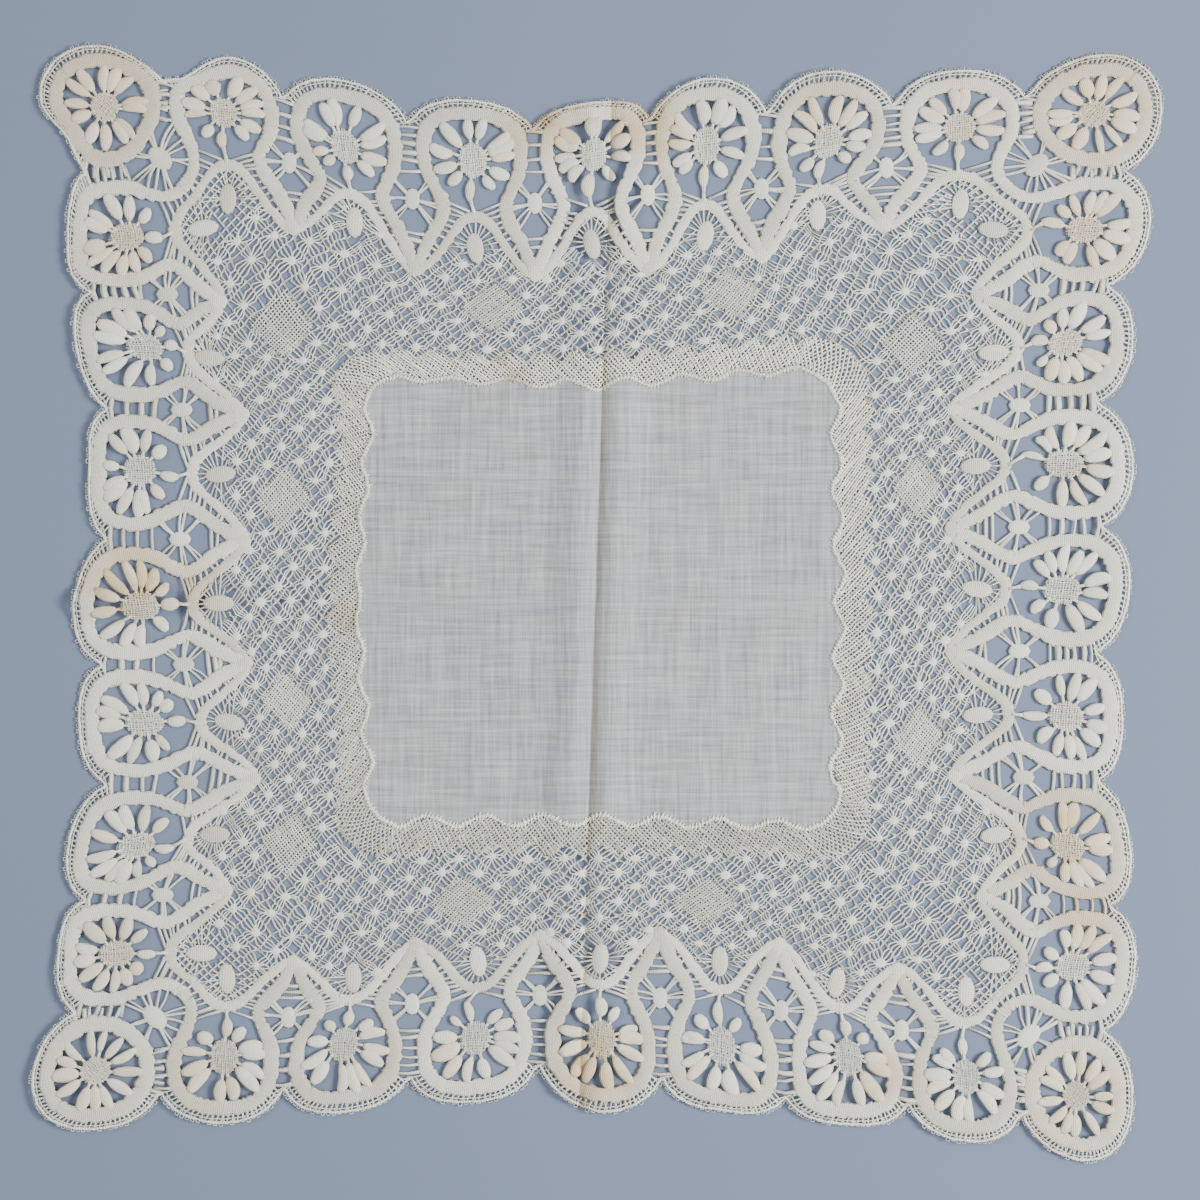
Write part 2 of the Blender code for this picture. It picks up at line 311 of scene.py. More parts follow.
def lie_height(points):
    """How far the underside lies above the table, in mm, at places in mm."""
    x = points[..., 0]
    y = points[..., 1]
    share = (y + CREASE_REACH) / (2 * CREASE_REACH)
    away = np.abs(x - (CREASE_FRONT_X + (CREASE_BACK_X - CREASE_FRONT_X) * share))
    inner = np.clip(away / BANK_NEAR, 0, 1) ** 0.62
    outer = eased((BANK_FAR - away) / (BANK_FAR - BANK_NEAR))
    bank = BANK_HEIGHT * np.minimum(inner, outer)
    grip = np.clip((PLEAT_FADES_AT - x) / (PLEAT_FADES_AT - PLEAT_FULL_AT), 0, 1)
    ridge = PLEAT_HEIGHT * grip * eased(1 - np.abs(y - PLEAT_Y) / PLEAT_HALF)
    reach = np.maximum(np.abs(x), np.abs(y)) - LIFT_STARTS
    wave = 0.5 + 0.5 * np.sin(LIFT_WAVES * np.arctan2(y, x) + LIFT_PHASE)
    lift = LIFT_HEIGHT * eased(reach / LIFT_FULL) * wave
    return np.maximum(np.maximum(bank, ridge), lift)


# %% [markdown]
# ## Threads as joined meshes
#
# Every part of the lace is thread, thousands of short lengths. Making each with its own object would
# choke the file, so one helper sweeps a small section along many paths at once and returns plain
# arrays, and another joins such arrays into one mesh. A wide, flat section with a changing width also
# gives the woven bands and the leaf-shaped petals.

# %% Sweeping and joining
rng = np.random.default_rng(41)


def smooth(rows, count, closed=False):
    """Points on one smooth curve through the rows."""
    rows = np.asarray(rows, float)
    if closed:
        ends = np.vstack([rows[-1], rows, rows[0], rows[1]])
        spans = len(rows)
    else:
        ends = np.vstack([2 * rows[0] - rows[1], rows, 2 * rows[-1] - rows[-2]])
        spans = len(rows) - 1
    place = np.linspace(0, spans, count, endpoint=not closed)
    span = np.minimum(place.astype(int), spans - 1)
    part = (place - span)[:, None]
    a, b, c, d = (ends[span + shift] for shift in range(4))
    bend = (2 * a - 5 * b + 4 * c - d) * part**2 + (3 * b - a - 3 * c + d) * part**3
    return b + 0.5 * ((c - a) * part + bend)


def swept(paths, width, height, rise, sides=4, closed=False, boxy=1.0, shade=None):
    """Arrays of closed tubes along paths in mm: paths is (threads, points, 2). A boxy value
    below 1 flattens the section, and shade, from 0 to 1, sets how light the threads are."""
    paths = np.asarray(paths, float)
    threads, points, _ = paths.shape
    width = np.broadcast_to(width, (threads, points))[..., None]
    height = np.broadcast_to(height, (threads, points))[..., None]
    rise = np.broadcast_to(rise, (threads, points))
    if closed:
        ahead = np.roll(paths, -1, axis=1) - np.roll(paths, 1, axis=1)
    else:
        ahead = np.gradient(paths, axis=1)
    ahead /= np.maximum(np.linalg.norm(ahead, axis=2, keepdims=True), 1e-9)
    aside = np.stack([-ahead[..., 1], ahead[..., 0]], axis=-1)
    angle = 2 * np.pi * np.arange(sides) / sides
    across = np.cos(angle) * width / 2
    flat = paths[:, :, None, :] + aside[:, :, None, :] * across[..., None]
    section = np.sign(np.sin(angle)) * np.abs(np.sin(angle)) ** boxy
    high = (lie_height(paths) + rise)[..., None] + section * height / 2
    steps = np.linalg.norm(np.diff(paths, axis=1), axis=2)
    along = np.concatenate([np.zeros((threads, 1)), np.cumsum(steps, axis=1)], axis=1)
    along = np.broadcast_to(along[..., None], across.shape)
    tone = rng.random((threads, 1, 1)) if shade is None else shade
    tone = np.broadcast_to(tone, across.shape)
    verts = np.concatenate([flat - middle, high[..., None]], axis=-1).reshape(-1, 3)
    weave = np.stack([across, along, tone], axis=-1).reshape(-1, 3)
    start = (np.arange(threads) * points * sides)[:, None, None]
    ring = np.arange(points if closed else points - 1)[None, :, None]
    near = np.arange(sides)[None, None, :]
    far = (near + 1) % sides
    after = (ring + 1) % points
    quads = np.stack(
        [
            start + ring * sides + near,
            start + ring * sides + far,
            start + after * sides + far,
            start + after * sides + near,
        ],
        axis=-1,
    ).reshape(-1, 4)
    faces = [quads]
    if not closed:
        first = start[:, :, 0] + np.arange(sides)[::-1]
        last = start[:, :, 0] + (points - 1) * sides + np.arange(sides)
        faces.append(np.vstack([first, last]))
    return verts, faces, weave


def joined(name, parts, material):
    """One mesh object of all the given arrays."""
    shift = 0
    loops = []
    sizes = []
    for verts, faces, _ in parts:
        for group in faces:
            loops.append((group + shift).ravel())
            sizes.append(np.full(len(group), group.shape[1]))
        shift += len(verts)
    loops = np.concatenate(loops)
    sizes = np.concatenate(sizes)
    mesh = bpy.data.meshes.new(name)
    mesh.vertices.add(shift)
    mesh.vertices.foreach_set("co", (np.vstack([part[0] for part in parts]) * MM).ravel())
    mesh.loops.add(len(loops))
    mesh.loops.foreach_set("vertex_index", loops.astype(np.int32))
    mesh.polygons.add(len(sizes))
    starts = np.concatenate([[0], np.cumsum(sizes)[:-1]])
    mesh.polygons.foreach_set("loop_start", starts.astype(np.int32))
    mesh.polygons.foreach_set("use_smooth", np.ones(len(sizes), bool))
    mesh.update(calc_edges=True)
    weave = mesh.attributes.new("weave", "FLOAT_VECTOR", "POINT")
    weave.data.foreach_set("vector", np.vstack([part[2] for part in parts]).ravel())
    mesh.materials.append(material)
    piece = bpy.data.objects.new(name, mesh)
    bpy.context.scene.collection.objects.link(piece)
    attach(piece, "root")
    print(f"{name}: {int((sizes - 2).sum())} triangles")
    return piece


def pill_arrays():
    """A round pill, the pattern for every small woven body: unit half sizes."""
    bm = bmesh.new()
    bmesh.ops.create_uvsphere(bm, u_segments=10, v_segments=6, radius=1.0)
    bm.verts.ensure_lookup_table()
    verts = np.array([vert.co[:] for vert in bm.verts])
    triangles = [[vert.index for vert in face.verts] for face in bm.faces if len(face.verts) == 3]
    quads = [[vert.index for vert in face.verts] for face in bm.faces if len(face.verts) == 4]
    bm.free()
    return verts, [np.array(triangles), np.array(quads)]


PILL = pill_arrays()


def pills(centres, half_sizes, turns, height, rise, shade=None):
    """Arrays of flattened pills at places in mm, turned by angles in radians."""
    centres = np.asarray(centres, float)
    count = len(centres)
    half_sizes = np.broadcast_to(half_sizes, (count, 2))
    turns = np.broadcast_to(turns, (count,))
    shape, groups = PILL
    local = shape[None, :, :2] * half_sizes[:, None, :]
    cos, sin = np.cos(turns)[:, None], np.sin(turns)[:, None]
    x = centres[:, None, 0] + local[..., 0] * cos - local[..., 1] * sin
    y = centres[:, None, 1] + local[..., 0] * sin + local[..., 1] * cos
    flat = np.stack([x, y], axis=-1)
    high = lie_height(flat) + rise + shape[None, :, 2] * height / 2
    verts = np.concatenate([flat - middle, high[..., None]], axis=-1).reshape(-1, 3)
    tone = rng.random((count, 1)) if shade is None else shade
    tone = np.broadcast_to(tone, local[..., 0].shape)
    weave = np.concatenate([local, tone[..., None]], axis=-1).reshape(-1, 3)
    start = (np.arange(count) * len(shape))[:, None, None]
    faces = [(start + group[None]).reshape(-1, group.shape[1]) for group in groups]
    return verts, faces, weave


def straight(starts, ends, points=2):
    """Straight paths between pattern points, laid out on the table."""
    share = np.linspace(0, 1, points)[None, :, None]
    starts = np.asarray(starts, float)[:, None, :]
    ends = np.asarray(ends, float)[:, None, :]
    return lay_out(starts + (ends - starts) * share)


# %% [markdown]
# ## Thread, weave and age
#
# The lace is linen that has gone cream, with tan marks where it was folded or damp. All the lace
# materials share one group of soft spots placed over the piece, so a mark runs on from a petal to the
# band beside it as a real one does.

# %% Age marks
# x, y, radius in mm, strength
MARKS = (
    (-136, 140, 22, 0.6),
    (-99, 135, 16, 0.4),
    (-13, 132, 15, 1.0),
    (14, 131, 16, 1.0),
    (63, 135, 15, 0.4),
    (102, 135, 16, 0.4),
    (137, 139, 26, 0.65),
    (135, 101, 20, 0.6),
    (130, 68, 16, 0.4),
    (129, 35, 14, 0.35),
    (126, -32, 13, 0.3),
    (128, -66, 19, 0.85),
    (135, -86, 16, 0.7),
    (132, -136, 22, 0.5),
    (80, -130, 12, 0.6),
    (0, -127, 16, 0.9),
    (-63, -124, 13, 0.3),
    (-106, -128, 16, 0.45),
    (-140, -131, 18, 0.35),
    (-133, -99, 15, 0.4),
    (-129, 6, 18, 0.95),
    (-112, 4, 12, 0.55),
    (-132, 98, 16, 0.5),
    (-22, 61, 6, 0.7),
    (-27, 67, 4, 0.5),
    (-68, -3, 7, 0.45),
)


def add_node(nodes, kind, **settings):
    made = nodes.new(kind)
    for key, value in settings.items():
        setattr(made, key, value)
    return made


def age_marks():
    group = bpy.data.node_groups.new("age_marks", "ShaderNodeTree")
    group.interface.new_socket("Strength", in_out="OUTPUT", socket_type="NodeSocketFloat")
    nodes, links = group.nodes, group.links
    place = add_node(nodes, "ShaderNodeTexCoord")
    patches = add_node(nodes, "ShaderNodeTexNoise")
    patches.inputs["Scale"].default_value = 130.0
    patches.inputs["Detail"].default_value = 3.0
    links.new(place.outputs["Object"], patches.inputs["Vector"])
    total = None
    for x, y, radius, strength in MARKS:
        away = add_node(nodes, "ShaderNodeVectorMath", operation="DISTANCE")
        links.new(place.outputs["Object"], away.inputs[0])
        away.inputs[1].default_value = (x * MM, y * MM, 0.0)
        fade = add_node(nodes, "ShaderNodeMapRange", interpolation_type="SMOOTHSTEP")
        links.new(away.outputs["Value"], fade.inputs["Value"])
        fade.inputs["From Min"].default_value = radius * MM
        fade.inputs["From Max"].default_value = radius * MM * 0.25
        fade.inputs["To Max"].default_value = strength
        if total is None:
            total = fade.outputs["Result"]
        else:
            more = add_node(nodes, "ShaderNodeMath", operation="MAXIMUM")
            links.new(total, more.inputs[0])
            links.new(fade.outputs["Result"], more.inputs[1])
            total = more.outputs["Value"]
    uneven = add_node(nodes, "ShaderNodeMapRange")
    links.new(patches.outputs["Fac"], uneven.inputs["Value"])
    uneven.inputs["From Min"].default_value = 0.35
    uneven.inputs["From Max"].default_value = 0.65
    uneven.inputs["To Min"].default_value = 0.55
    product = add_node(nodes, "ShaderNodeMath", operation="MULTIPLY")
    links.new(total, product.inputs[0])
    links.new(uneven.outputs["Result"], product.inputs[1])
    out = add_node(nodes, "NodeGroupOutput")
    links.new(product.outputs["Value"], out.inputs["Strength"])
    return group


AGE = age_marks()

# %% [markdown]
# The long crease is also painted into the colour as light and shade. Its left bank faces the light
# from the right and gets a painted highlight, and its right bank gets a brownish painted shade in the
# valley. A colour ramp across the crease holds both, and it tints the cloth and the lace alike.

# %% Painted light and shade of the crease
# Right of the crease in mm, and the tint there: painted highlight just left of the line, painted shade
# right of it
CREASE_PAINTED_LIGHT = (
    (-3.0, (0.86, 0.86, 0.86)),
    (-1.2, (0.86, 0.86, 0.86)),
    (-0.3, (1.0, 1.0, 1.0)),
    (0.0, (0.98, 0.97, 0.95)),
    (0.3, (0.56, 0.52, 0.47)),
    (1.0, (0.66, 0.61, 0.55)),
    (2.4, (0.84, 0.83, 0.81)),
    (5.0, (0.86, 0.86, 0.86)),
)


def painted_crease_light(nodes, links, place):
    """Tint across the long crease: a painted highlight on its left, a painted shade on its right."""
    split = add_node(nodes, "ShaderNodeSeparateXYZ")
    links.new(place.outputs["Object"], split.inputs["Vector"])
    slope = (CREASE_BACK_X - CREASE_FRONT_X) / (2 * CREASE_REACH)
    lean = add_node(nodes, "ShaderNodeMath", operation="MULTIPLY_ADD")
    links.new(split.outputs["Y"], lean.inputs[0])
    lean.inputs[1].default_value = -slope
    links.new(split.outputs["X"], lean.inputs[2])
    centre = (CREASE_BACK_X + CREASE_FRONT_X) / 2 - middle[0] + slope * middle[1]
    away = add_node(nodes, "ShaderNodeMapRange")
    links.new(lean.outputs["Value"], away.inputs["Value"])
    away.inputs["From Min"].default_value = (centre - 3.0) * MM
    away.inputs["From Max"].default_value = (centre + 5.0) * MM
    ramp = add_node(nodes, "ShaderNodeValToRGB")
    links.new(away.outputs["Result"], ramp.inputs["Fac"])
    stops = ramp.color_ramp.elements
    stops[0].position, stops[0].color = 0.0, CREASE_PAINTED_LIGHT[0][1] + (1.0,)
    stops[1].position, stops[1].color = 1.0, CREASE_PAINTED_LIGHT[-1][1] + (1.0,)
    for reach, colour in CREASE_PAINTED_LIGHT[1:-1]:
        stop = stops.new((reach + 3.0) / 8.0)
        stop.color = colour + (1.0,)
    return ramp.outputs["Color"]


def tinted(nodes, links, colour, layer):
    """One colour multiplied by another."""
    product = add_node(nodes, "ShaderNodeVectorMath", operation="MULTIPLY")
    links.new(colour, product.inputs[0])
    links.new(layer, product.inputs[1])
    return product.outputs["Vector"]


# %% [markdown]
# One recipe serves every thread material. Its colour drifts a little from thread to thread, the age
# marks tint it tan, and two crossed waves along and across the thread raise the strands as bump. What
# changes is the base colour and how coarse the strands are.


# %% Linen materials
def linen(name, colour, aged, strands, strength, roughness=0.85, stray=0.0):
    """A linen material: strands is (pitch across, pitch along) in mm, and stray is how tan the
    odd thread is that aged more than its neighbours."""
    material = bpy.data.materials.new(name)
    material.use_nodes = True
    nodes, links = material.node_tree.nodes, material.node_tree.links
    shader = nodes["Principled BSDF"]
    shader.inputs["Roughness"].default_value = roughness
    shader.inputs["Specular IOR Level"].default_value = 0.25
    weave = add_node(nodes, "ShaderNodeAttribute", attribute_name="weave")
    split = add_node(nodes, "ShaderNodeSeparateXYZ")
    links.new(weave.outputs["Vector"], split.inputs["Vector"])
    place = add_node(nodes, "ShaderNodeTexCoord")
    drift = add_node(nodes, "ShaderNodeTexNoise")
    drift.inputs["Scale"].default_value = 110.0
    drift.inputs["Detail"].default_value = 5.0
    links.new(place.outputs["Object"], drift.inputs["Vector"])
    mixed = add_node(nodes, "ShaderNodeMath", operation="ADD")
    links.new(drift.outputs["Fac"], mixed.inputs[0])
    links.new(split.outputs["Z"], mixed.inputs[1])
    tones = add_node(nodes, "ShaderNodeMapRange")
    links.new(mixed.outputs["Value"], tones.inputs["Value"])
    tones.inputs["From Min"].default_value = 0.5
    tones.inputs["From Max"].default_value = 1.5
    tint = add_node(nodes, "ShaderNodeMix", data_type="RGBA")
    links.new(tones.outputs["Result"], tint.inputs["Factor"])
    darker = (0.84, 0.82, 0.76)
    tint.inputs["A"].default_value = tuple(a * b for a, b in zip(darker, colour)) + (1.0,)
    tint.inputs["B"].default_value = tuple(min(1.0, 1.1 * part) for part in colour) + (1.0,)
    marks = add_node(nodes, "ShaderNodeGroup", node_tree=AGE)
    few = add_node(nodes, "ShaderNodeMapRange")
    links.new(split.outputs["Z"], few.inputs["Value"])
    few.inputs["From Min"].default_value = 0.7
    few.inputs["To Max"].default_value = stray
    most = add_node(nodes, "ShaderNodeMath", operation="MAXIMUM")
    links.new(marks.outputs["Strength"], most.inputs[0])
    links.new(few.outputs["Result"], most.inputs[1])
    old = add_node(nodes, "ShaderNodeMix", data_type="RGBA")
    links.new(most.outputs["Value"], old.inputs["Factor"])
    links.new(tint.outputs["Result"], old.inputs["A"])
    old.inputs["B"].default_value = aged + (1.0,)
    # Painted highlight and shade along the long crease, scaled so that the colour away from it stays as
    # it is
    even = add_node(nodes, "ShaderNodeVectorMath", operation="SCALE")
    links.new(painted_crease_light(nodes, links, place), even.inputs[0])
    even.inputs["Scale"].default_value = 1.0 / CREASE_PAINTED_LIGHT[0][1][0]
    colour = tinted(nodes, links, old.outputs["Result"], even.outputs["Vector"])
    links.new(colour, shader.inputs["Base Color"])
    heights = []
    for axis, pitch in zip(("X", "Y"), strands):
        turn = add_node(nodes, "ShaderNodeMath", operation="MULTIPLY")
        links.new(split.outputs[axis], turn.inputs[0])
        turn.inputs[1].default_value = 2 * math.pi / pitch
        wave = add_node(nodes, "ShaderNodeMath", operation="SINE")
        links.new(turn.outputs["Value"], wave.inputs[0])
        heights.append(wave)
    both = add_node(nodes, "ShaderNodeMath", operation="ADD")
    links.new(heights[0].outputs["Value"], both.inputs[0])
    links.new(heights[1].outputs["Value"], both.inputs[1])
    bump = add_node(nodes, "ShaderNodeBump")
    bump.inputs["Strength"].default_value = strength
    bump.inputs["Distance"].default_value = 0.00012
    links.new(both.outputs["Value"], bump.inputs["Height"])
    links.new(bump.outputs["Normal"], shader.inputs["Normal"])
    return material


CREAM = (0.85, 0.82, 0.71)
TAN = (0.71, 0.54, 0.31)
PETAL_TAN = (0.82, 0.58, 0.29)
net_linen = linen("net_linen", (0.84, 0.84, 0.76), TAN, (0.3, 0.5), 0.5)
band_linen = linen("band_linen", CREAM, TAN, (0.42, 0.55), 0.6)
petal_linen = linen("petal_linen", (0.94, 0.92, 0.80), PETAL_TAN, (0.5, 0.42), 0.5, 0.6, 0.45)
body_linen = linen("body_linen", (0.73, 0.74, 0.68), TAN, (0.3, 0.5), 0.5)
cord_linen = linen("cord_linen", (0.94, 0.92, 0.80), TAN, (0.4, 0.7), 0.6)

# %% [markdown]
# ## Bands
#
# The solid lines of the lace are cloth stitch: a dozen threads run along and one goes back and forth
# across. From step away they read as flat woven bands. Each fan has one that starts at the point on
# its left, runs up the side, over the top and down to the point on its right. A second, lower one
# makes a tent over the leaf below the fan. The tables give the middle of a half band, across and out
# from the fan's middle, with its half width, all in pattern steps.

# %% Band tables
ARCH = (
    (0.0, 3.36, 0.46),
    (1.05, 3.2, 0.46),
    (1.95, 2.65, 0.47),
    (2.6, 1.65, 0.48),
    (2.84, 0.45, 0.47),
    (2.74, -0.8, 0.45),
    (2.32, -1.9, 0.42),
    (1.92, -2.8, 0.41),
    (1.87, -3.5, 0.42),
    (2.2, -4.4, 0.44),
    (2.75, -5.4, 0.44),
    (3.18, -6.4, 0.42),
    (3.45, -7.3, 0.36),
)
ARCH_AT_CORNER = ARCH[:7] + (
    (2.02, -2.9, 0.37),
    (2.05, -3.8, 0.38),
    (2.42, -4.5, 0.4),
    (2.95, -4.95, 0.38),
)
TENT = (
    (0.0, -3.75, 0.36),
    (0.6, -3.95, 0.34),
    (1.15, -4.6, 0.31),
    (1.75, -5.6, 0.3),
    (2.4, -6.6, 0.29),
    (3.0, -7.3, 0.29),
    (3.5, -7.7, 0.28),
)
TENT_AT_CORNER = (
    (0.0, -3.75, 0.36),
    (0.6, -3.9, 0.33),
    (1.1, -4.3, 0.31),
    (1.5, -4.8, 0.29),
    (1.9, -5.3, 0.28),
    (2.15, -5.6, 0.27),
)
# Corner fan's ring: turn from the outward diagonal in degrees, distance of its middle, half width
CORNER_RING = (
    (0, 3.4, 0.46),
    (40, 3.3, 0.46),
    (80, 3.12, 0.5),
    (120, 3.0, 0.53),
    (160, 2.9, 0.5),
    (200, 2.9, 0.5),
    (240, 3.0, 0.53),
    (280, 3.12, 0.5),
    (320, 3.3, 0.46),
)


def halves(number, plain, at_corner):
    """Left and right half tables of a band, for the fan with this number on its side."""
    before = at_corner if number == 1 else plain
    after = at_corner if number == 2 * FANS_TO_CORNER - 1 else plain
    left = [(-across, out, half) for across, out, half in before[:0:-1]]
    return np.array(left + list(after))


def fan_band(side, number, plain, at_corner, count):
    """Middle line in the pattern and half widths of one fan's band."""
    turn = SIDES[side][2]
    step = pattern_steps(side)[number]
    rows = smooth(halves(number, plain, at_corner), count)
    return at_side(side, step + turn * rows[:, 0], CORNER + rows[:, 1]), rows[:, 2]


def corner_places(side, turns, distances):
    """Pattern points round the corner fan of a side; turn 0 looks out along the diagonal."""
    turn = SIDES[side][2]
    angle = np.asarray(turns, float) + math.pi / 4
    across = CORNER + distances * np.sin(angle)
    return at_side(side, -turn * across, CORNER + distances * np.cos(angle))


def band_arrays(line, half, closed=False, height=0.55, rise=0.5):
    """A woven band: a flat eight-sided section whose edges waver as the weaver turns."""
    laid = lay_out(line)
    ahead = np.roll(laid, -1, axis=0) - np.roll(laid, 1, axis=0)
    if not closed:
        ahead = np.gradient(laid, axis=0)
    ahead /= np.linalg.norm(ahead, axis=1, keepdims=True)
    aside = np.stack([-ahead[:, 1], ahead[:, 0]], axis=-1)
    laid = laid + aside * rng.normal(0, 0.12, (len(line), 1))
    place = np.arange(len(line))
    slow = 0.07 * np.sin(place * 0.21 + rng.uniform(0, 6)) if not closed else 0.0
    waver = 1 + slow + 0.05 * np.sin(place * 2.1) + 0.07 * rng.standard_normal(len(line))
    width = 2 * half * STEP_MM * waver
    return swept(laid[None], width, height, rise, sides=8, closed=closed, boxy=0.6)


# %% [markdown]
# The corner fans are joined to no tent, so each has a closed ring in place of an open band. All bands
# of a side go into one list, which the points and leaves join before the list becomes a mesh.

# %% Bands of the four sides
ARCH_POINTS = 132
TENT_POINTS = 56
RING_POINTS = 96
band_parts = {side: [] for side in SIDES}
for side in SIDES:
    for number in range(1, 2 * FANS_TO_CORNER):
        line, half = fan_band(side, number, ARCH, ARCH_AT_CORNER, ARCH_POINTS)
        band_parts[side].append(band_arrays(line, half))
        line, half = fan_band(side, number, TENT, TENT_AT_CORNER, TENT_POINTS)
        band_parts[side].append(band_arrays(line, half, rise=0.45, height=0.5))
    ring = smooth(CORNER_RING, RING_POINTS, closed=True)
    turns = np.radians(np.linspace(0, 360, RING_POINTS, endpoint=False))
    line = corner_places(side, turns, ring[:, 1])
    band_parts[side].append(band_arrays(line, ring[:, 2], closed=True))
print("bands:", sum(len(parts) for parts in band_parts.values()))

# %% [markdown]
# ## Solid points and leaves
#
# Where two bands meet they close into a woven point, and inside every tent lies a small leaf of plain
# weave. They are thick little cushions of thread, so each is a flattened pill, squeezed to its size.

# %% Points and leaves
LEAF_OUT = -5.8
LEAF_HALF = (0.54, 1.0)
POINT_HALF = (0.5, 0.62)


def side_turn(side):
    """The angle by which a side's outward direction is turned from +Y."""
    outward = SIDES[side][0]
    return math.atan2(outward[1], outward[0]) - math.pi / 2


leaf_places = {}
trims = {side: [] for side in SIDES}
for side in SIDES:
    turn = SIDES[side][2]
    steps = pattern_steps(side)
    leaves = [at_side(side, step, CORNER + LEAF_OUT) for step in steps[1:]]
    points = [
        at_side(side, step + turn * FAN_PITCH / 2, CORNER - 7.45) for step in steps[1:-1]
    ]
    leaf_places[side] = np.array(leaves)
    lean = side_turn(side) + rng.normal(0, 0.12, len(leaves))
    band_parts[side].append(
        pills(lay_out(leaves), np.array(LEAF_HALF) * STEP_MM, lean, 0.8, 0.5)
    )
    band_parts[side].append(
        pills(lay_out(points), np.array(POINT_HALF) * STEP_MM, side_turn(side), 0.7, 0.5)
    )
    trims[side].append(joined("bands_" + side, band_parts[side], band_linen))

# %% [markdown]
# ## Fans
#
# Each fan has a woven heart with a dozen raised petals round it. The petals are tallies: one thread is
# woven over and under three others, pulled tight at both ends, so they come out as plump leaves with
# fine ribs across. They are uneven and some lean on their neighbours. The long one below hangs down to
# the tent between two large gaps.

# %% Petal tables
HEART_HALF = (0.8, 1.14)
CORNER_HEART = 0.88
# turn from outward in degrees, how far out it reaches in pattern steps, width in mm
SIDE_PETALS = (
    (14, 3.02, 3.6),
    (43, 2.86, 3.6),
    (73, 2.56, 3.7),
    (105, 2.46, 3.6),
    (143, 2.35, 3.3),
    (180, 2.75, 3.2),
    (216, 2.35, 3.3),
    (243, 2.4, 3.4),
    (268, 2.48, 3.6),
    (294, 2.6, 3.5),
    (320, 2.86, 3.6),
    (347, 3.02, 3.6),
)
LONG_PETAL = 5
TAIL_END = -3.55
CORNER_PETALS = 13
PETAL_POINTS = 9
STALK = 0.27


def petal_paths(centre, side, rows, at_corner):
    """Paths of one fan's petals, the petals' widths, and paths of the stalks that hold them."""
    hand = rng.choice((-1, 1))
    paths = []
    widths = []
    stalks = []
    for degrees, reach, width in rows:
        angle = hand * math.radians(degrees) + rng.normal(0, 0.08)
        lean = rng.normal(0, 0.11)
        reach = reach * (1 + rng.normal(0, 0.03))
        across, out = HEART_HALF
        heart = across * out / math.hypot(out * math.sin(angle), across * math.cos(angle))
        heart = CORNER_HEART if at_corner else heart
        start = heart + STALK * rng.uniform(0.4, 1.5)
        share = np.linspace(0, 1, PETAL_POINTS)
        far = start + (reach - start) * share
        bowed = angle + lean * np.sin(math.pi * share) / np.maximum(far, 0.8)
        stalk_far = np.linspace(0.8 * heart, start + 0.2, 3)
        for turned, out_far, kept in ((bowed, far, paths), (angle, stalk_far, stalks)):
            turned = np.broadcast_to(turned, out_far.shape)
            if at_corner:
                kept.append(corner_places(side, turned, out_far))
            else:
                along = centre + np.sin(turned) * out_far
                kept.append(at_side(side, along, CORNER + np.cos(turned) * out_far))
        belly = np.sin(math.pi * (0.045 + 0.91 * share)) ** 0.5
        widths.append(width * (1 + rng.normal(0, 0.12)) * belly)
    return np.array(paths), np.array(widths), np.array(stalks)


def petal_arrays(laid, widths):
    count = len(laid)
    rises = 0.62 + 0.3 * rng.random((count, 1)) * np.sin(
        np.linspace(0, math.pi, PETAL_POINTS)
    )
    heights = 0.3 + 0.75 * widths / widths.max()
    return swept(laid, widths, heights, rises, sides=8)


# %% [markdown]
# A fan of a side has twelve petals in the places of the table. A corner fan is round, so its thirteen
# are spaced evenly and reach a little further outward. The long petal also gets a tail to its tent.

# %% Petals of every fan
for side in SIDES:
    steps = pattern_steps(side)
    parts = []
    for step in steps[1:]:
        paths, widths, stalks = petal_paths(step, side, SIDE_PETALS, at_corner=False)
        parts.append(petal_arrays(lay_out(paths), widths))
        parts.append(swept(lay_out(stalks), (1.1, 0.8, 0.9), 0.4, 0.55, sides=6))
        tail = [paths[LONG_PETAL, -2], at_side(side, step, CORNER + TAIL_END)]
        tail.insert(1, (tail[0] + tail[1]) / 2)
        parts.append(swept(lay_out(tail)[None], (1.5, 0.8, 1.1), 0.6, 0.6, sides=6))
    corner_rows = []
    for petal in range(CORNER_PETALS):
        degrees = 360 * petal / CORNER_PETALS + 10
        reach = np.interp((degrees + 180) % 360 - 180, (-180, 0, 180), (2.5, 3.0, 2.5))
        corner_rows.append((degrees, reach, 3.3))
    paths, widths, stalks = petal_paths(0, side, corner_rows, at_corner=True)
    parts.append(petal_arrays(lay_out(paths), widths))
    parts.append(swept(lay_out(stalks), (1.1, 0.8, 0.9), 0.4, 0.55, sides=6))
    trims[side].append(joined("petals_" + side, parts, petal_linen))

# %% [markdown]
# The heart is a more open weave than the bands, so the table shows through it a little and it looks
# grey. It is small enough to weave it thread by thread: two sets of threads that go over and under each
# other, cut to an oval.

# %% Weaving an oval or a diamond


def woven_patch(inside, reach, pitch, turn, points):
    """Local paths of two crossing sets of threads, each cut where it leaves the patch."""
    paths = []
    over = []
    marks = np.arange(-reach, reach + pitch / 2, pitch)
    fine = np.linspace(-reach, reach, 241)
    for hand in (0, 1):
        angle = turn[hand]
        ahead = np.array([math.cos(angle), math.sin(angle)])
        aside = np.array([-ahead[1], ahead[0]])
        for number, mark in enumerate(marks):
            line = mark * aside + fine[:, None] * ahead
            held = np.flatnonzero(inside(line))
            if len(held) < 6:
                continue
            loose = rng.uniform(0, 0.6 * pitch, 2)
            share = np.linspace(fine[held[0]] - loose[0], fine[held[-1]] + loose[1], points)
            paths.append(mark * aside + share[:, None] * ahead)
            sign = 1 if hand else -1
            over.append(sign * 0.1 * np.cos(np.pi * (share / pitch + number)))
    return np.array(paths), np.array(over)


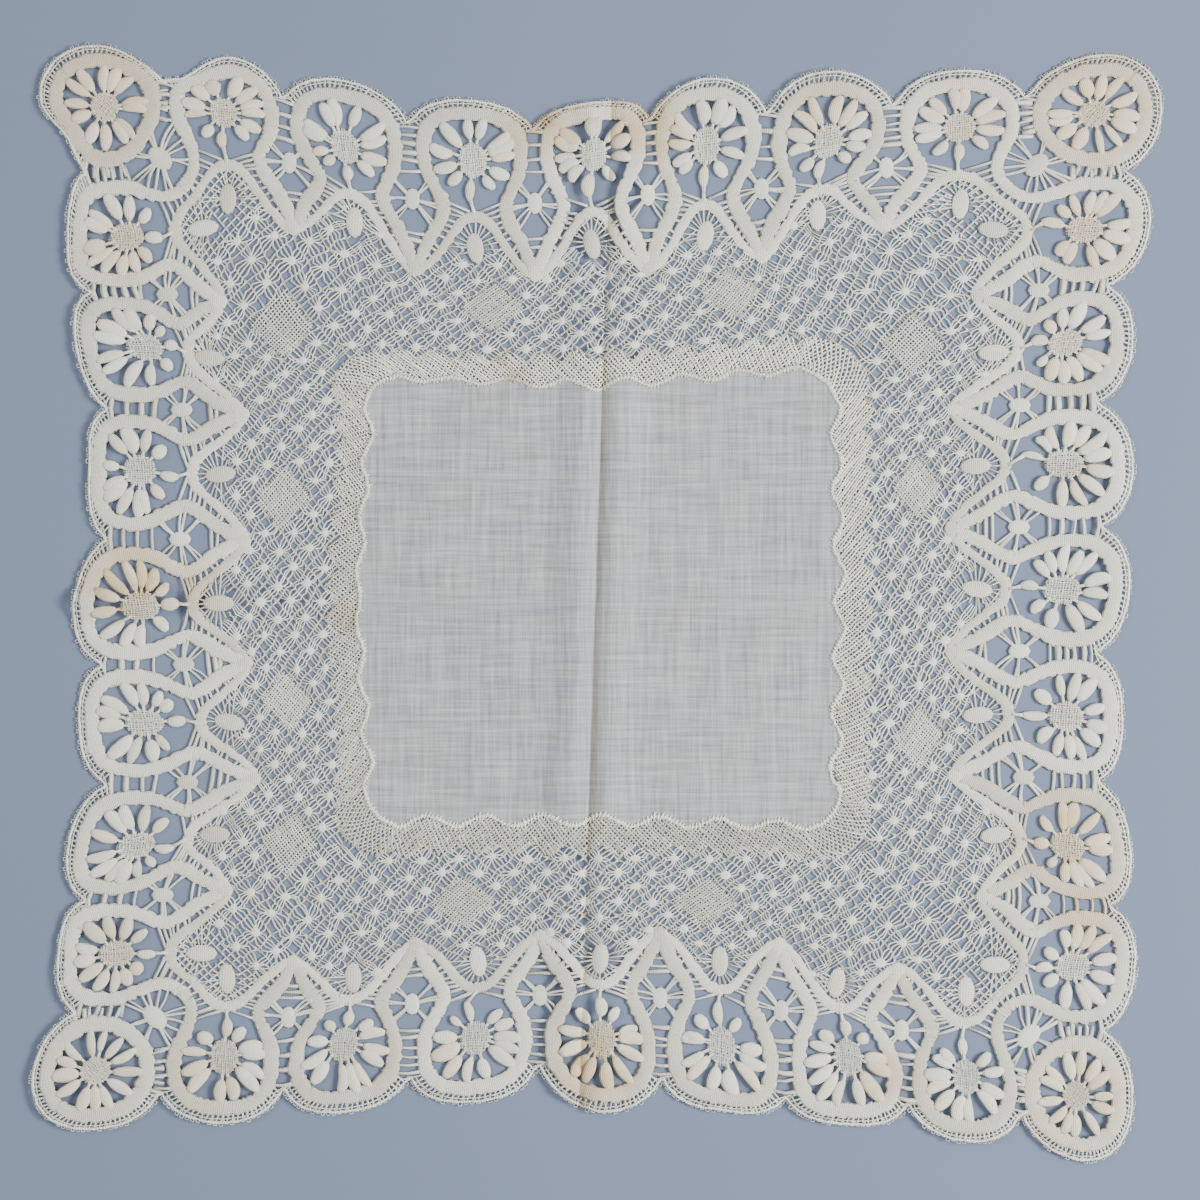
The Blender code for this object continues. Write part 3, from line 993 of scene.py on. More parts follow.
heart_local, heart_over = woven_patch(
    lambda p: (p**2).sum(axis=1) < 1,
    1.0,
    0.155,
    (0.08, math.pi / 2 + 0.05),
    9,
)
heart_parts = []
for side in SIDES:
    steps = pattern_steps(side)
    for number, step in enumerate(steps):
        if number:
            local = heart_local * np.array(HEART_HALF)
            laid = lay_out(at_side(side, step + local[..., 0], CORNER + local[..., 1]))
        else:
            angle = np.arctan2(heart_local[..., 0], heart_local[..., 1])
            far = CORNER_HEART * np.linalg.norm(heart_local, axis=-1)
            laid = lay_out(corner_places(side, angle, far))
        laid = laid + rng.normal(0, 0.09, laid.shape)
        heart_parts.append(swept(laid, 0.5, 0.32, 0.62 + heart_over))
fan_hearts = joined("fan_hearts", heart_parts, body_linen)

# %% [markdown]
# ## The star net
#
# The ground between the tents and the foot is a net of stars. The stars sit on every second point of
# the lattice, and a bundle of threads runs from each to its four neighbours across the corners. Pairs
# of twisted threads pass between the stars and cross the bundles half way. To know where the net ends,
# the script builds its outline from the tents' middle lines, and asks for each point if it is inside.

# %% Where the net is
FOOT_EDGE = 15.35
FOOT_EDGE_WAVE = 0.4
FOOT_ROUND = 3.5
CORNER_NET_SUM = 42.6
CORNER_NET_FROM = 19.6


def net_outline():
    """The net's outer edge in the pattern, along the middle of the tents."""
    points = []
    for side in SIDES:
        for number in range(1, 2 * FANS_TO_CORNER):
            line, _ = fan_band(side, number, TENT, TENT_AT_CORNER, 25)
            points.append(line)
    return np.vstack(points)


def within(points, outline):
    """True for the points inside a closed outline."""
    x, y = points[:, 0], points[:, 1]
    found = np.zeros(len(points), bool)
    for (x0, y0), (x1, y1) in zip(outline, np.roll(outline, -1, axis=0)):
        crosses = (y0 > y) != (y1 > y)
        slope = (x1 - x0) * (y - y0) / (y1 - y0 + 1e-12) + x0
        found ^= crosses & (x < slope)
    return found


NET_OUTLINE = net_outline()
ALL_LEAVES = np.vstack(list(leaf_places.values()))
LEAF_LONG_X = np.repeat([side in ("left", "right") for side in SIDES], 7)


def leaf_share(points, grow=0.0):
    """Below 1 inside the nearest leaf, which is grown by this many steps."""
    half = np.where(LEAF_LONG_X[:, None], LEAF_HALF[::-1], LEAF_HALF) + grow
    away = (points[:, None, :] - ALL_LEAVES[None]) / half[None]
    return np.sqrt((away**2).sum(axis=2)).min(axis=1)


DIAMOND_HALF = (1.88, 1.76)


def diamond_share(points):
    """Below 1 inside the nearest woven diamond."""
    best = np.full(len(points), 9.0)
    for (i, j), _ in DIAMONDS:
        along_x = abs(j) > abs(i)
        half = DIAMOND_HALF if along_x else DIAMOND_HALF[::-1]
        share = np.abs(points[:, 0] - i) / half[0] + np.abs(points[:, 1] - j) / half[1]
        best = np.minimum(best, share)
    return best


def rounded_ring(points):
    """Half size of the square with rounded corners that each pattern point lies on."""
    longer = np.abs(points).max(axis=-1)
    shorter = np.abs(points).min(axis=-1)
    apart = np.minimum(longer - shorter, FOOT_ROUND)
    total = longer + shorter - np.sqrt(2 * FOOT_ROUND**2 - apart**2)
    return np.where(longer - shorter < FOOT_ROUND, FOOT_ROUND + total / 2, longer)


def in_corner_net(points):
    """True for pattern points in the fine net near a corner."""
    return (np.abs(points).sum(axis=-1) > CORNER_NET_SUM) & (
        np.abs(points).min(axis=-1) > CORNER_NET_FROM
    )


def in_net(points):
    """True for pattern points where the star net is worked."""
    flat = points.reshape(-1, 2)
    foot = FOOT_EDGE - FOOT_EDGE_WAVE * np.cos(np.pi * np.abs(flat).min(axis=1))
    held = (rounded_ring(flat) > foot) & within(flat, NET_OUTLINE)
    held &= (leaf_share(flat, 0.12) > 1) & (diamond_share(flat) > 0.93)
    held &= ~in_corner_net(flat)
    return held.reshape(points.shape[:-1])


def side_of(points):
    """Number of the side that each pattern point belongs to."""
    best = np.stack([points @ np.array(SIDES[side][0], float) for side in SIDES], axis=-1)
    return best.argmax(axis=-1)


# %% [markdown]
# A thread that would leave the net is cut short where it meets the band, leaf or foot. Each is tested
# at two dozen places, and keeps the part up to the first place outside.

# %% Stars and their threads


def cut_short(starts, ends, tests=24):
    """Ends moved back to where each thread first leaves the net."""
    share = np.linspace(0.06, 1, tests)[None, :, None]
    line = starts[:, None, :] + (ends - starts)[:, None, :] * share
    held = in_net(line)
    first = np.where(held.all(axis=1), tests, np.argmin(held, axis=1))
    kept = np.where(first == tests, 1.0, 0.06 + 0.94 * first / tests)
    return starts + (ends - starts) * kept[:, None], kept


lattice = np.array([(i, j) for i in range(-26, 27) for j in range(-26, 27)], float)
even = (lattice.sum(axis=1) % 2) == 0
near_leaf = leaf_share(lattice, 0.5) < 1
starry = even & in_net(lattice) & ~near_leaf & (np.abs(lattice).max(axis=1) > 15.5)
for step in ((0.42, 0), (-0.42, 0), (0, 0.42), (0, -0.42)):
    starry &= within(lattice + np.array(step), NET_OUTLINE)
stars = lattice[starry]
star_set = {tuple(point) for point in stars}
print("stars:", len(stars))

LEG_OFFSETS = (-1.42, -0.47, 0.47, 1.42)
LEG_SWAY = 0.25
LEG_WIDTH = 0.38
# share of the way, how far the legs part, how far they all sway
WHOLE_LINK = np.array(
    (
        (0.0, 0.25, 0.0),
        (0.17, 0.72, 0.5),
        (0.35, 1.08, 0.8),
        (0.5, 0.82, 0.0),
        (0.65, 1.08, -0.8),
        (0.83, 0.72, -0.5),
        (1.0, 0.25, 0.0),
    )
)
CUT_LINK = np.array(((0.0, 0.3, 0.0), (0.28, 0.85, 0.8), (0.6, 1.0, 0.8), (1.0, 0.7, 0.2)))


def leg_arrays(starts, ends, slant, rows):
    """Four legs of each link, parted between its stars and drawn together at them."""
    planned = np.linalg.norm(ends - starts, axis=1)[:, None] * STEP_MM
    starts, ends = starts[:, None, :], ends[:, None, :]
    laid = lay_net(starts + (ends - starts) * rows[None, :, :1])
    ahead = laid[:, -1] - laid[:, 0]
    length = np.linalg.norm(ahead, axis=1, keepdims=True)
    ahead /= length
    aside = np.stack([-ahead[:, 1], ahead[:, 0]], axis=-1)[:, None, :]
    stretch = np.clip(length / planned, 0.85, 1.3)
    parts = []
    for offset in LEG_OFFSETS:
        uneven = offset + rng.normal(0, 0.11, (len(laid), 1))
        moved = (uneven * rows[:, 1] + LEG_SWAY * slant * rows[:, 2]) * stretch
        path = laid + aside * moved[..., None]
        shade = 0.45 + 0.55 * rng.random((len(laid), 1, 1))
        parts.append(swept(path, LEG_WIDTH * stretch, 0.3, 0.5, shade=shade))
    return parts


net_parts = {side: [] for side in SIDES}
side_names = list(SIDES)
for direction in ((1, 1), (1, -1)):
    slant = -direction[1]
    ahead = np.array(direction, float)
    both = np.array([tuple(star + ahead) in star_set for star in stars])
    starts = stars[both]
    belongs = side_of(starts + ahead / 2)
    for number, side in enumerate(side_names):
        chosen = belongs == number
        net_parts[side] += leg_arrays(
            starts[chosen], starts[chosen] + ahead, slant, WHOLE_LINK
        )
    for sign in (1, -1):
        alone = np.array([tuple(star + sign * ahead) not in star_set for star in stars])
        starts = stars[alone]
        ends, kept = cut_short(starts, starts + sign * ahead)
        useful = kept > 0.15
        starts, ends = starts[useful], ends[useful]
        belongs = side_of(starts)
        for number, side in enumerate(side_names):
            chosen = belongs == number
            net_parts[side] += leg_arrays(starts[chosen], ends[chosen], slant, CUT_LINK)

# %% [markdown]
# The crossing pairs are worked the same way on the other half of the lattice. Two strands swap places
# twice between crossings, so the pair looks twisted.

# %% Crossing pairs and star hearts
PAIR_WIDTH = 0.35
PAIR_POINTS = 5


def pair_arrays(starts, ends, rise=0.32, spread=0.14):
    """Two strands twisted round each other along each path, thicker where pairs cross."""
    share = np.linspace(0, 1, PAIR_POINTS)[None, :, None]
    width = PAIR_WIDTH * np.array((1.5, 1.0, 0.9, 1.0, 1.5))
    laid = lay_net(starts[:, None, :] + (ends - starts)[:, None, :] * share)
    laid[:, 1:-1] += rng.normal(0, 0.13, laid[:, 1:-1].shape)
    ahead = np.gradient(laid, axis=1)
    ahead /= np.maximum(np.linalg.norm(ahead, axis=2, keepdims=True), 1e-9)
    aside = np.stack([-ahead[..., 1], ahead[..., 0]], axis=-1)
    share = np.linspace(0, 1, PAIR_POINTS)
    parts = []
    for hand in (1, -1):
        path = laid + hand * spread * aside * np.cos(2 * np.pi * share)[None, :, None]
        high = rise + hand * 0.1 * np.sin(2 * np.pi * share)
        parts.append(swept(path, width, 0.28, high, shade=0.2))
    return parts


crossings = lattice[~even]
held = in_net(crossings)
for direction in ((1, 1), (1, -1), (-1, 1), (-1, -1)):
    ahead = np.array(direction, float)
    starts = crossings[held]
    far_held = in_net(starts + ahead)
    if direction[0] < 0:
        starts = starts[~far_held]
    ends, kept = cut_short(starts, starts + ahead)
    useful = kept > 0.15
    starts, ends = starts[useful], ends[useful]
    belongs = side_of(starts)
    for number, side in enumerate(side_names):
        chosen = belongs == number
        net_parts[side] += pair_arrays(starts[chosen], ends[chosen])
belongs = side_of(stars)
for number, side in enumerate(side_names):
    chosen = lay_net(stars[belongs == number])
    sizes = np.array((1.25, 1.15)) * (1 + rng.normal(0, 0.12, (len(chosen), 2)))
    net_parts[side].append(pills(chosen, sizes, 0.0, 0.6, 0.5, shade=0.95))

# %% [markdown]
# ## Diamonds
#
# Eleven diamonds of the same open weave as the hearts interrupt the net. Their threads run along the
# diamond's edges, and each takes the room of four stars.

# %% Woven diamonds
diamond_local, diamond_over = woven_patch(
    lambda p: np.abs(p[:, 0]) / DIAMOND_HALF[0] + np.abs(p[:, 1]) / DIAMOND_HALF[1] < 1,
    2.0,
    0.175,
    (math.pi / 4 - 0.03, -math.pi / 4 + 0.03),
    10,
)
diamond_parts = []
for (i, j), _ in DIAMONDS:
    upright = abs(j) > abs(i)
    local = diamond_local if upright else diamond_local[..., ::-1]
    laid = lay_out(local + np.array((i, j), float))
    laid = laid + rng.normal(0, 0.09, laid.shape)
    diamond_parts.append(swept(laid, 0.47, 0.34, 0.45 + diamond_over))
net_diamonds = joined("net_diamonds", diamond_parts, body_linen)

# %% [markdown]
# ## Fine net in the corners
#
# Between the last two leaves of a corner the stars give way to a fine square net of single pairs. It is
# ruled in short lengths along both diagonals, and a length is kept where its middle is in the patch.

# %% Corner nets
FINE_PITCH = 0.39


for sign_x, sign_y in ((1, 1), (-1, 1), (-1, -1), (1, -1)):
    marks = np.arange(-3.2, 3.3, FINE_PITCH)
    cuts = np.arange(-3.2, 3.3, FINE_PITCH)
    starts = []
    ends = []
    for hand in (1, -1):
        ahead = np.array((1.0, hand)) / math.sqrt(2)
        aside = np.array((-hand, 1.0)) / math.sqrt(2)
        for mark in marks:
            for cut in cuts:
                start = mark * aside + cut * ahead
                starts.append(start)
                ends.append(start + FINE_PITCH * ahead)
    centre = np.array((22.0 * sign_x, 22.0 * sign_y))
    starts = np.array(starts) + centre
    ends = np.array(ends) + centre
    halfway = (starts + ends) / 2
    held = in_corner_net(halfway) & within(halfway, NET_OUTLINE)
    held &= leaf_share(halfway, 0.1) > 1
    side = side_names[int(side_of(centre + np.array((0.1 * sign_x, 0.0))))]
    net_parts[side].append(swept(straight(starts[held], ends[held]), 0.5, 0.4, 0.42))

nets = {side: joined("star_net_" + side, net_parts[side], net_linen) for side in SIDES}

# %% [markdown]
# ## Ladders and spiders
#
# Short bars join neighbouring bands like the rungs of a ladder: between two fans, between a fan's arm
# and its tent, and round each leaf. In the middle of every gap between two fans sits a spider, a small
# woven knot on long legs.

# %% Rungs
RUNG_WIDTH = 0.82


def rung_rows(side, number, hand):
    """Start, end and width in mm of each rung on one hand of a side fan."""
    turn = SIDES[side][2]
    step = pattern_steps(side)[number]
    at_end = (number == 1 and hand < 0) or (number == 2 * FANS_TO_CORNER - 1 and hand > 0)
    arm = smooth(ARCH_AT_CORNER if at_end else ARCH, 120)
    tent = smooth(TENT_AT_CORNER if at_end else TENT, 60)
    arm = arm[arm[:, 1] < (-2.9 if at_end else -3.3)]
    tent = tent[tent[:, 1] < -3.8]
    rungs = []

    def add_rung(start, end, width):
        near = at_side(side, step + turn * hand * start[0], CORNER + start[1])
        far = at_side(side, step + turn * hand * end[0], CORNER + end[1])
        rungs.append((near, far, width))

    for share in np.linspace(0.08, 0.8, 5 if at_end else 9):
        share = share + rng.normal(0, 0.012)
        start = arm[int(share * (len(arm) - 1))]
        end = tent[int((share + rng.normal(0, 0.02)) * (len(tent) - 1))]
        add_rung(start, end, RUNG_WIDTH)
    for drop in (-2.75, -3.1)[: rng.integers(1, 3)]:
        add_rung((1.85, drop), (0.3, drop - 0.65), RUNG_WIDTH)
    if hand < 0 and not at_end:
        return rungs
    for out in np.linspace(1.6, -1.05, rng.integers(4, 7)):
        reach = np.interp(out, arch_side[:, 1][::-1], arch_side[:, 0][::-1])
        far = FAN_PITCH / 2 + 0.3 if at_end else FAN_PITCH - reach
        width = rng.uniform(0.7, 1.7)
        add_rung((reach, out), (far, out + rng.normal(0, 0.12)), width)
    if at_end:
        return rungs
    for out in (-4.7, -5.2, -5.75)[rng.integers(0, 2) :]:
        reach = np.interp(-out, -arm[:, 1], arm[:, 0])
        slant = rng.normal(0, 0.12)
        add_rung((reach, out), (FAN_PITCH - reach, out + slant), rng.uniform(0.8, 1.3))
    return rungs


arch_side = smooth(ARCH, 120)
arch_side = arch_side[(arch_side[:, 1] < 1.8) & (arch_side[:, 1] > -1.6)]
rung_parts = {side: [] for side in SIDES}
for side in SIDES:
    rungs = []
    for number in range(1, 2 * FANS_TO_CORNER):
        for hand in (-1, 1):
            rungs += rung_rows(side, number, hand)
    for end in (1, -1):
        for degrees in (110, 117, 124, 132, 140, 149):
            angle = math.radians(degrees + rng.normal(0, 1.5)) * end
            far = FAN_PITCH / 2 / math.cos(math.radians(degrees - 135)) + 0.25
            near_end = corner_places(side, angle, 3.2)
            far_end = corner_places(side, angle, far)
            rungs.append((near_end, far_end, rng.uniform(0.7, 1.5)))
    starts, ends, widths = (np.array(column) for column in zip(*rungs))
    widths = widths[:, None] * (1 + rng.normal(0, 0.15, (len(rungs), 3)))
    rung_parts[side].append(swept(straight(starts, ends, 3), widths, 0.42, 0.42))

# %% [markdown]
# The rungs of a leaf radiate from its outer half and stop at the tent. Each is lengthened bit by bit
# until it leaves the net's outline. On the inner half the threads of the stars reach the leaf itself.

# %% Leaf rungs
LEAF_RUNGS = 15
LEAF_RUNG_REACH = 2.4

for side in SIDES:
    starts = []
    ends = []
    for step in pattern_steps(side)[1:]:
        angle = np.linspace(-1.95, 1.95, LEAF_RUNGS) + rng.normal(0, 0.04, LEAF_RUNGS)
        across, out = np.sin(angle), np.cos(angle)
        centre = CORNER + LEAF_OUT
        near = at_side(
            side, step + across * LEAF_HALF[0] * 0.8, centre + out * LEAF_HALF[1] * 0.8
        )
        ahead = at_side(side, across, out) - at_side(side, 0, 0)
        share = np.linspace(0.2, LEAF_RUNG_REACH, 45)
        line = near[:, None, :] + ahead[:, None, :] * share[None, :, None]
        held = within(line.reshape(-1, 2), NET_OUTLINE).reshape(len(near), len(share))
        stop = np.where(held.all(axis=1), 0.5, share[np.argmin(held, axis=1)])
        starts.append(near)
        ends.append(near + ahead * stop[:, None])
    starts, ends = np.vstack(starts), np.vstack(ends)
    rung_parts[side].append(swept(straight(starts, ends), 0.45, 0.36, 0.4))

# %% [markdown]
# A spider's legs leave in pairs. The table gives each pair's direction from outward, in degrees, its
# length, and how far its two threads part, in pattern steps.

# %% Spiders
SPIDER_OUT = -2.95
SPIDER_LEGS = ((38, 2.0, 0.14), (100, 1.7, 0.14), (143, 2.2, 0.17))
CORNER_SPIDER = CORNER - 3.15
CORNER_SPIDER_LEGS = (
    (29, 1.9, 0.14),
    (75, 2.2, 0.14),
    (108, 2.1, 0.24),
    (146, 2.1, 0.24),
)


def spider_arrays(side, centre, legs, slant, half, strands):
    starts = []
    ends = []
    for degrees, length, spread in legs:
        for hand in (-1, 1):
            for strand in np.linspace(-1, 1, strands):
                angle = hand * math.radians(degrees)
                across = math.sin(angle) * length + math.cos(angle) * spread * strand
                out = math.cos(angle) * length - math.sin(angle) * spread * strand
                along = across * math.cos(slant) - out * math.sin(slant)
                outward = across * math.sin(slant) + out * math.cos(slant)
                near_along, near_out = along * 0.08, outward * 0.08
                starts.append(at_side(side, centre[0] + near_along, centre[1] + near_out))
                ends.append(at_side(side, centre[0] + along, centre[1] + outward))
    laid = straight(starts, ends, 5)
    sway = rng.normal(0, 0.3, (len(laid), 1, 2)) * np.array((0, 0.7, 1, 0.7, 0))[None, :, None]
    widths = 0.78 * (1 + rng.normal(0, 0.18, (len(laid), 1)))
    parts = [swept(laid + sway, widths, 0.45, 0.45)]
    place = lay_out(at_side(side, centre[0], centre[1])[None])
    parts.append(pills(place, half, side_turn(side) + slant, 0.7, 0.5))
    return parts


for side in SIDES:
    turn = SIDES[side][2]
    for step in pattern_steps(side)[1:-1]:
        centre = (step + turn * FAN_PITCH / 2, CORNER + SPIDER_OUT)
        rung_parts[side] += spider_arrays(side, centre, SPIDER_LEGS, 0.0, (2.1, 3.1), 2)
    centre = (-turn * CORNER_SPIDER, CORNER_SPIDER)
    slant = turn * math.pi / 4
    rung_parts[side] += spider_arrays(
        side, centre, CORNER_SPIDER_LEGS, slant, (2.7, 4.0), 2
    )
    trims[side].append(joined("rungs_" + side, rung_parts[side], net_linen))

# %% [markdown]
# ## The edging
#
# Outside the fans runs a narrow open ladder with a cord along its edge and tiny loops, the picots,
# beyond it. The ladder's rungs go from the cord to the fan's band.

# %% Edging
PICOT_MM = 0.8

edge_plan = edge_outline()
edge_laid = lay_out(edge_plan)
edge_side = np.concatenate([np.full(51 + 7 * 27, number) for number in range(4)])
edge_fans = []
for side in SIDES:
    turn = SIDES[side][2]
    edge_fans.append(np.repeat(at_side(side, -turn * CORNER, CORNER)[None], 51, axis=0))
    for step in pattern_steps(side)[1:]:
        edge_fans.append(np.repeat(at_side(side, step, CORNER)[None], 27, axis=0))
edge_fans = np.vstack(edge_fans)
inward = edge_fans - edge_plan
distance = np.linalg.norm(inward, axis=1, keepdims=True)
inward /= distance
slide = np.roll(edge_plan, -1, axis=0) - edge_plan
starts = edge_plan + inward * 0.08
ends = edge_plan + inward * 1.05 + slide * 0.8
edge_parts = {side: [] for side in SIDES}
for number, side in enumerate(side_names):
    chosen = edge_side == number
    laid = straight(starts[chosen], ends[chosen], 3)
    laid[:, 2] += rng.normal(0, 0.2, (len(laid), 2))
    widths = rng.uniform(0.3, 0.72, (len(laid), 1))
    edge_parts[side].append(swept(laid, widths, 0.34, 0.42))
    halfway = straight(starts[chosen] + slide[chosen] * 0.6, ends[chosen] - slide[chosen], 3)
    edge_parts[side].append(swept(halfway[::2], 0.34, 0.3, 0.38))

tangent = np.roll(edge_laid, -1, axis=0) - np.roll(edge_laid, 1, axis=0)
tangent /= np.linalg.norm(tangent, axis=1, keepdims=True)
outside = np.stack([tangent[:, 1], -tangent[:, 0]], axis=-1)
half_step = (np.roll(edge_laid, -1, axis=0) - edge_laid) / 2
size = PICOT_MM * (0.4 + 0.95 * rng.random((len(edge_laid), 1)) ** 1.3)
loop_rows = (
    edge_laid - half_step * 0.7,
    edge_laid - half_step * 0.6 + outside * size,
    edge_laid + half_step * 0.6 + outside * size,
    edge_laid + half_step * 0.7,
)
picots = np.stack(loop_rows, axis=1) - outside[:, None, :] * 0.3
for number, side in enumerate(side_names):
    loops = picots[edge_side == number]
    widths = rng.uniform(0.26, 0.46, (len(loops), 1))
    edge_parts[side].append(swept(loops, widths, 0.3, 0.42, sides=3))

# %% [markdown]
# The cord of the edge is one closed loop of two strands, so it is a piece of its own, and the finer
# thread that runs beside it is made in the same piece.

# %% Edge cords
for side in SIDES:
    trims[side].append(joined("edging_" + side, edge_parts[side], net_linen))
cord_parts = []
for inset, width in ((0.1, 0.68), (0.34, 0.34)):
    line = edge_plan + inward * (inset + rng.normal(0, 0.018, (len(edge_plan), 1)))
    line = smooth(line, 3 * len(line) // 2, closed=True)
    uneven = width * (1 + rng.normal(0, 0.16, len(line)))
    cord_parts.append(
        swept(lay_out(line)[None], uneven, width * 0.8, 0.5, sides=5, closed=True)
    )
edge_cord = joined("edge_cord", cord_parts, cord_linen)

# %% [markdown]
# ## The foot
#
# The foot is the fine net between the stars and the cloth. Its threads run from the seam to the stars
# at a slant, in two sets that cross. The seam itself waves in and out, seven waves a side.

# %% Seam and foot net


def three_point(values, share):
    """Between a start, a middle and an end value."""
    return np.interp(share, (0, 0.5, 1), values)


def seam_side(side, parts):
    """One side of the seam in mm, without its corner."""
    start, end, outs, depths = SEAM_ROWS[side]
    share = np.linspace(0, 1, parts)
    wave = np.sin(math.pi * SEAM_WAVES * share) ** 2
    out = three_point(outs, share) - three_point(depths, share) * wave
    return at_side(side, start + (end - start) * share, out)


def seam_corner(side, parts):
    """The rounded corner after a side of the seam, in mm."""
    last = seam_side(side, 3)[-1]
    first = seam_side(next_side(side), 3)[0]
    share = np.linspace(0, 1, parts + 2)[1:-1, None]
    bulge = (last + first) / np.linalg.norm(last + first) * SEAM_CORNER_BULGE
    return last + (first - last) * share + bulge * np.sin(math.pi * share)


FOOT_THREADS = 92
FOOT_CORNER_THREADS = 16
FOOT_INSIDE = 3.6
FOOT_OUTSIDE = 15.9
FOOT_POINTS = 9
FOOT_SHIFT = 8.6


def foot_corner(side, parts, radius, ring):
    """The rounded corner after a side, in the pattern, on a square of this half size."""
    angle = math.pi / 2 * np.linspace(0, 1, parts + 2)[1:-1]
    straight_end = ring - radius
    along = SIDES[side][2] * (straight_end + radius * np.sin(angle))
    return at_side(side, along, straight_end + radius * np.cos(angle))


base = []
seam = []
outer = []
edge = []
for side in SIDES:
    seam_out = SEAM_ROWS[side][2]
    share = np.linspace(0, 1, FOOT_THREADS)
    start, end = SEAM_ROWS[side][:2]
    level = three_point(seam_out, share) - FOOT_INSIDE
    base.append(at_side(side, (start + (end - start) * share) * 0.97, level))
    seam += [seam_side(side, FOOT_THREADS), seam_corner(side, FOOT_CORNER_THREADS)]
    base.append(seam_corner(side, FOOT_CORNER_THREADS) * 0.94)
    along = SIDES[side][2] * (2 * share - 1) * (FOOT_OUTSIDE - FOOT_ROUND)
    outer.append(at_side(side, along, FOOT_OUTSIDE))
    outer.append(foot_corner(side, FOOT_CORNER_THREADS, FOOT_ROUND, FOOT_OUTSIDE))
    edge.append(at_side(side, along, FOOT_EDGE + 0.12 - FOOT_EDGE_WAVE * np.cos(np.pi * along)))
    edge.append(foot_corner(side, FOOT_CORNER_THREADS, FOOT_ROUND, FOOT_EDGE + 0.3))
base, seam = np.vstack(base), np.vstack(seam)
outer, edge = lay_out(np.vstack(outer)), lay_out(np.vstack(edge))
foot_deep = np.linalg.norm(outer - base, axis=1)
seam_at = np.linalg.norm(seam - base, axis=1) / foot_deep
edge_at = np.linalg.norm(edge - base, axis=1) / foot_deep

# %% [markdown]
# Each thread is first drawn straight across a strip a little wider than the foot. Only its part between
# the waves of the seam and the waves of the star net is kept, so the mesh stays even and just its
# edges wave.

# %% Foot threads
foot_count = len(base)
fine = np.linspace(0, 1, 61)
foot_parts = []
for hand in (1, -1):
    paths = []
    for number in range(foot_count):
        place = number + hand * FOOT_SHIFT * fine
        low = np.floor(place).astype(int)
        part = (place - low)[:, None]
        here, after = low % foot_count, (low + 1) % foot_count
        inner_line = base[here] * (1 - part) + base[after] * part
        outer_line = outer[here] * (1 - part) + outer[after] * part
        kept = np.flatnonzero((fine >= seam_at[here]) & (fine <= edge_at[here]))
        share = np.linspace(fine[kept[0]], fine[kept[-1]], FOOT_POINTS)[:, None]
        line = inner_line + (outer_line - inner_line) * fine[:, None]
        ends = [np.interp(share[:, 0], fine, line[:, axis]) for axis in (0, 1)]
        paths.append(np.stack(ends, axis=-1))
    paths = np.array(paths) + rng.normal(0, 0.11, (foot_count, FOOT_POINTS, 2))
    widths = 0.5 * (1 + rng.normal(0, 0.2, (foot_count, FOOT_POINTS)))
    foot_parts.append(swept(paths, widths, 0.3, 0.44 + 0.08 * hand))
foot_net = joined("foot_net", foot_parts, cord_linen)

# %% [markdown]
# ## The cloth and its seam
#
# The centre is a thin plain weave, cut along the foot's waves and joined to it edge to edge with close
# overcasting. A grid is stretched between the four sides of the seam, which keeps its rows even, and
# then laid into the same folds as the lace.

# %% Centre cloth
CLOTH_RISE = 0.45
CLOTH_CELLS = 130


def cloth_edge(side, count):
    """The seam from the middle of one corner to the middle of the next, evenly spaced."""
    names = list(SIDES)
    before = names[names.index(side) - 1]
    line = np.vstack(
        [seam_corner(before, 9)[4:], seam_side(side, 90), seam_corner(side, 9)[:5]]
    )
    gone = np.concatenate([[0], np.cumsum(np.linalg.norm(np.diff(line, axis=0), axis=1))])
    even_steps = np.linspace(0, gone[-1], count)
    return np.stack([np.interp(even_steps, gone, line[:, axis]) for axis in (0, 1)], axis=-1)


def stretched(u, v, edges):
    """A place inside four edges: front and back run with u, left and right with v."""
    front, right, back, left = edges
    last = len(front) - 1
    i, j = round(u * last), round(v * last)
    low, high = front[i], back[last - i]
    west, east = left[last - j], right[j]
    ruled = (1 - v) * low + v * high + (1 - u) * west + u * east
    corners = (
        (1 - u) * (1 - v) * front[0]
        + u * (1 - v) * front[-1]
        + u * v * back[0]
        + (1 - u) * v * back[-1]
    )
    return ruled - corners


edges = [cloth_edge(side, CLOTH_CELLS + 1) for side in ("front", "right", "back", "left")]
bm = bmesh.new()
bmesh.ops.create_grid(bm, x_segments=CLOTH_CELLS, y_segments=CLOTH_CELLS, size=0.5)
for vert in bm.verts:
    place = stretched(vert.co.x + 0.5, vert.co.y + 0.5, edges)
    high = lie_height(place) + CLOTH_RISE
    flat = place - middle
    vert.co = Vector((flat[0] * MM, flat[1] * MM, float(high) * MM))
bmesh.ops.recalc_face_normals(bm, faces=bm.faces)
if bm.faces[:][0].normal.z < 0:
    bmesh.ops.reverse_faces(bm, faces=bm.faces)
area = sum(face.calc_area() for face in bm.faces)
cloth_mesh = bpy.data.meshes.new("centre_cloth_weave")
bm.to_mesh(cloth_mesh)
bm.free()
cloth_mesh.polygons.foreach_set("use_smooth", np.ones(len(cloth_mesh.polygons), bool))
cloth = bpy.data.objects.new("centre_cloth_weave", cloth_mesh)
bpy.context.scene.collection.objects.link(cloth)
thicken = cloth.modifiers.new("thickness", "SOLIDIFY")
thicken.thickness = 0.2 * MM
thicken.offset = 0.0
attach(cloth, "root")
print("cloth area, m2:", round(area, 5))

# %% [markdown]
# The weave is much finer than the lace. Thick and thin threads make faint streaks both ways, which is
# what the eye sees of it, and the thinner places let the table through.


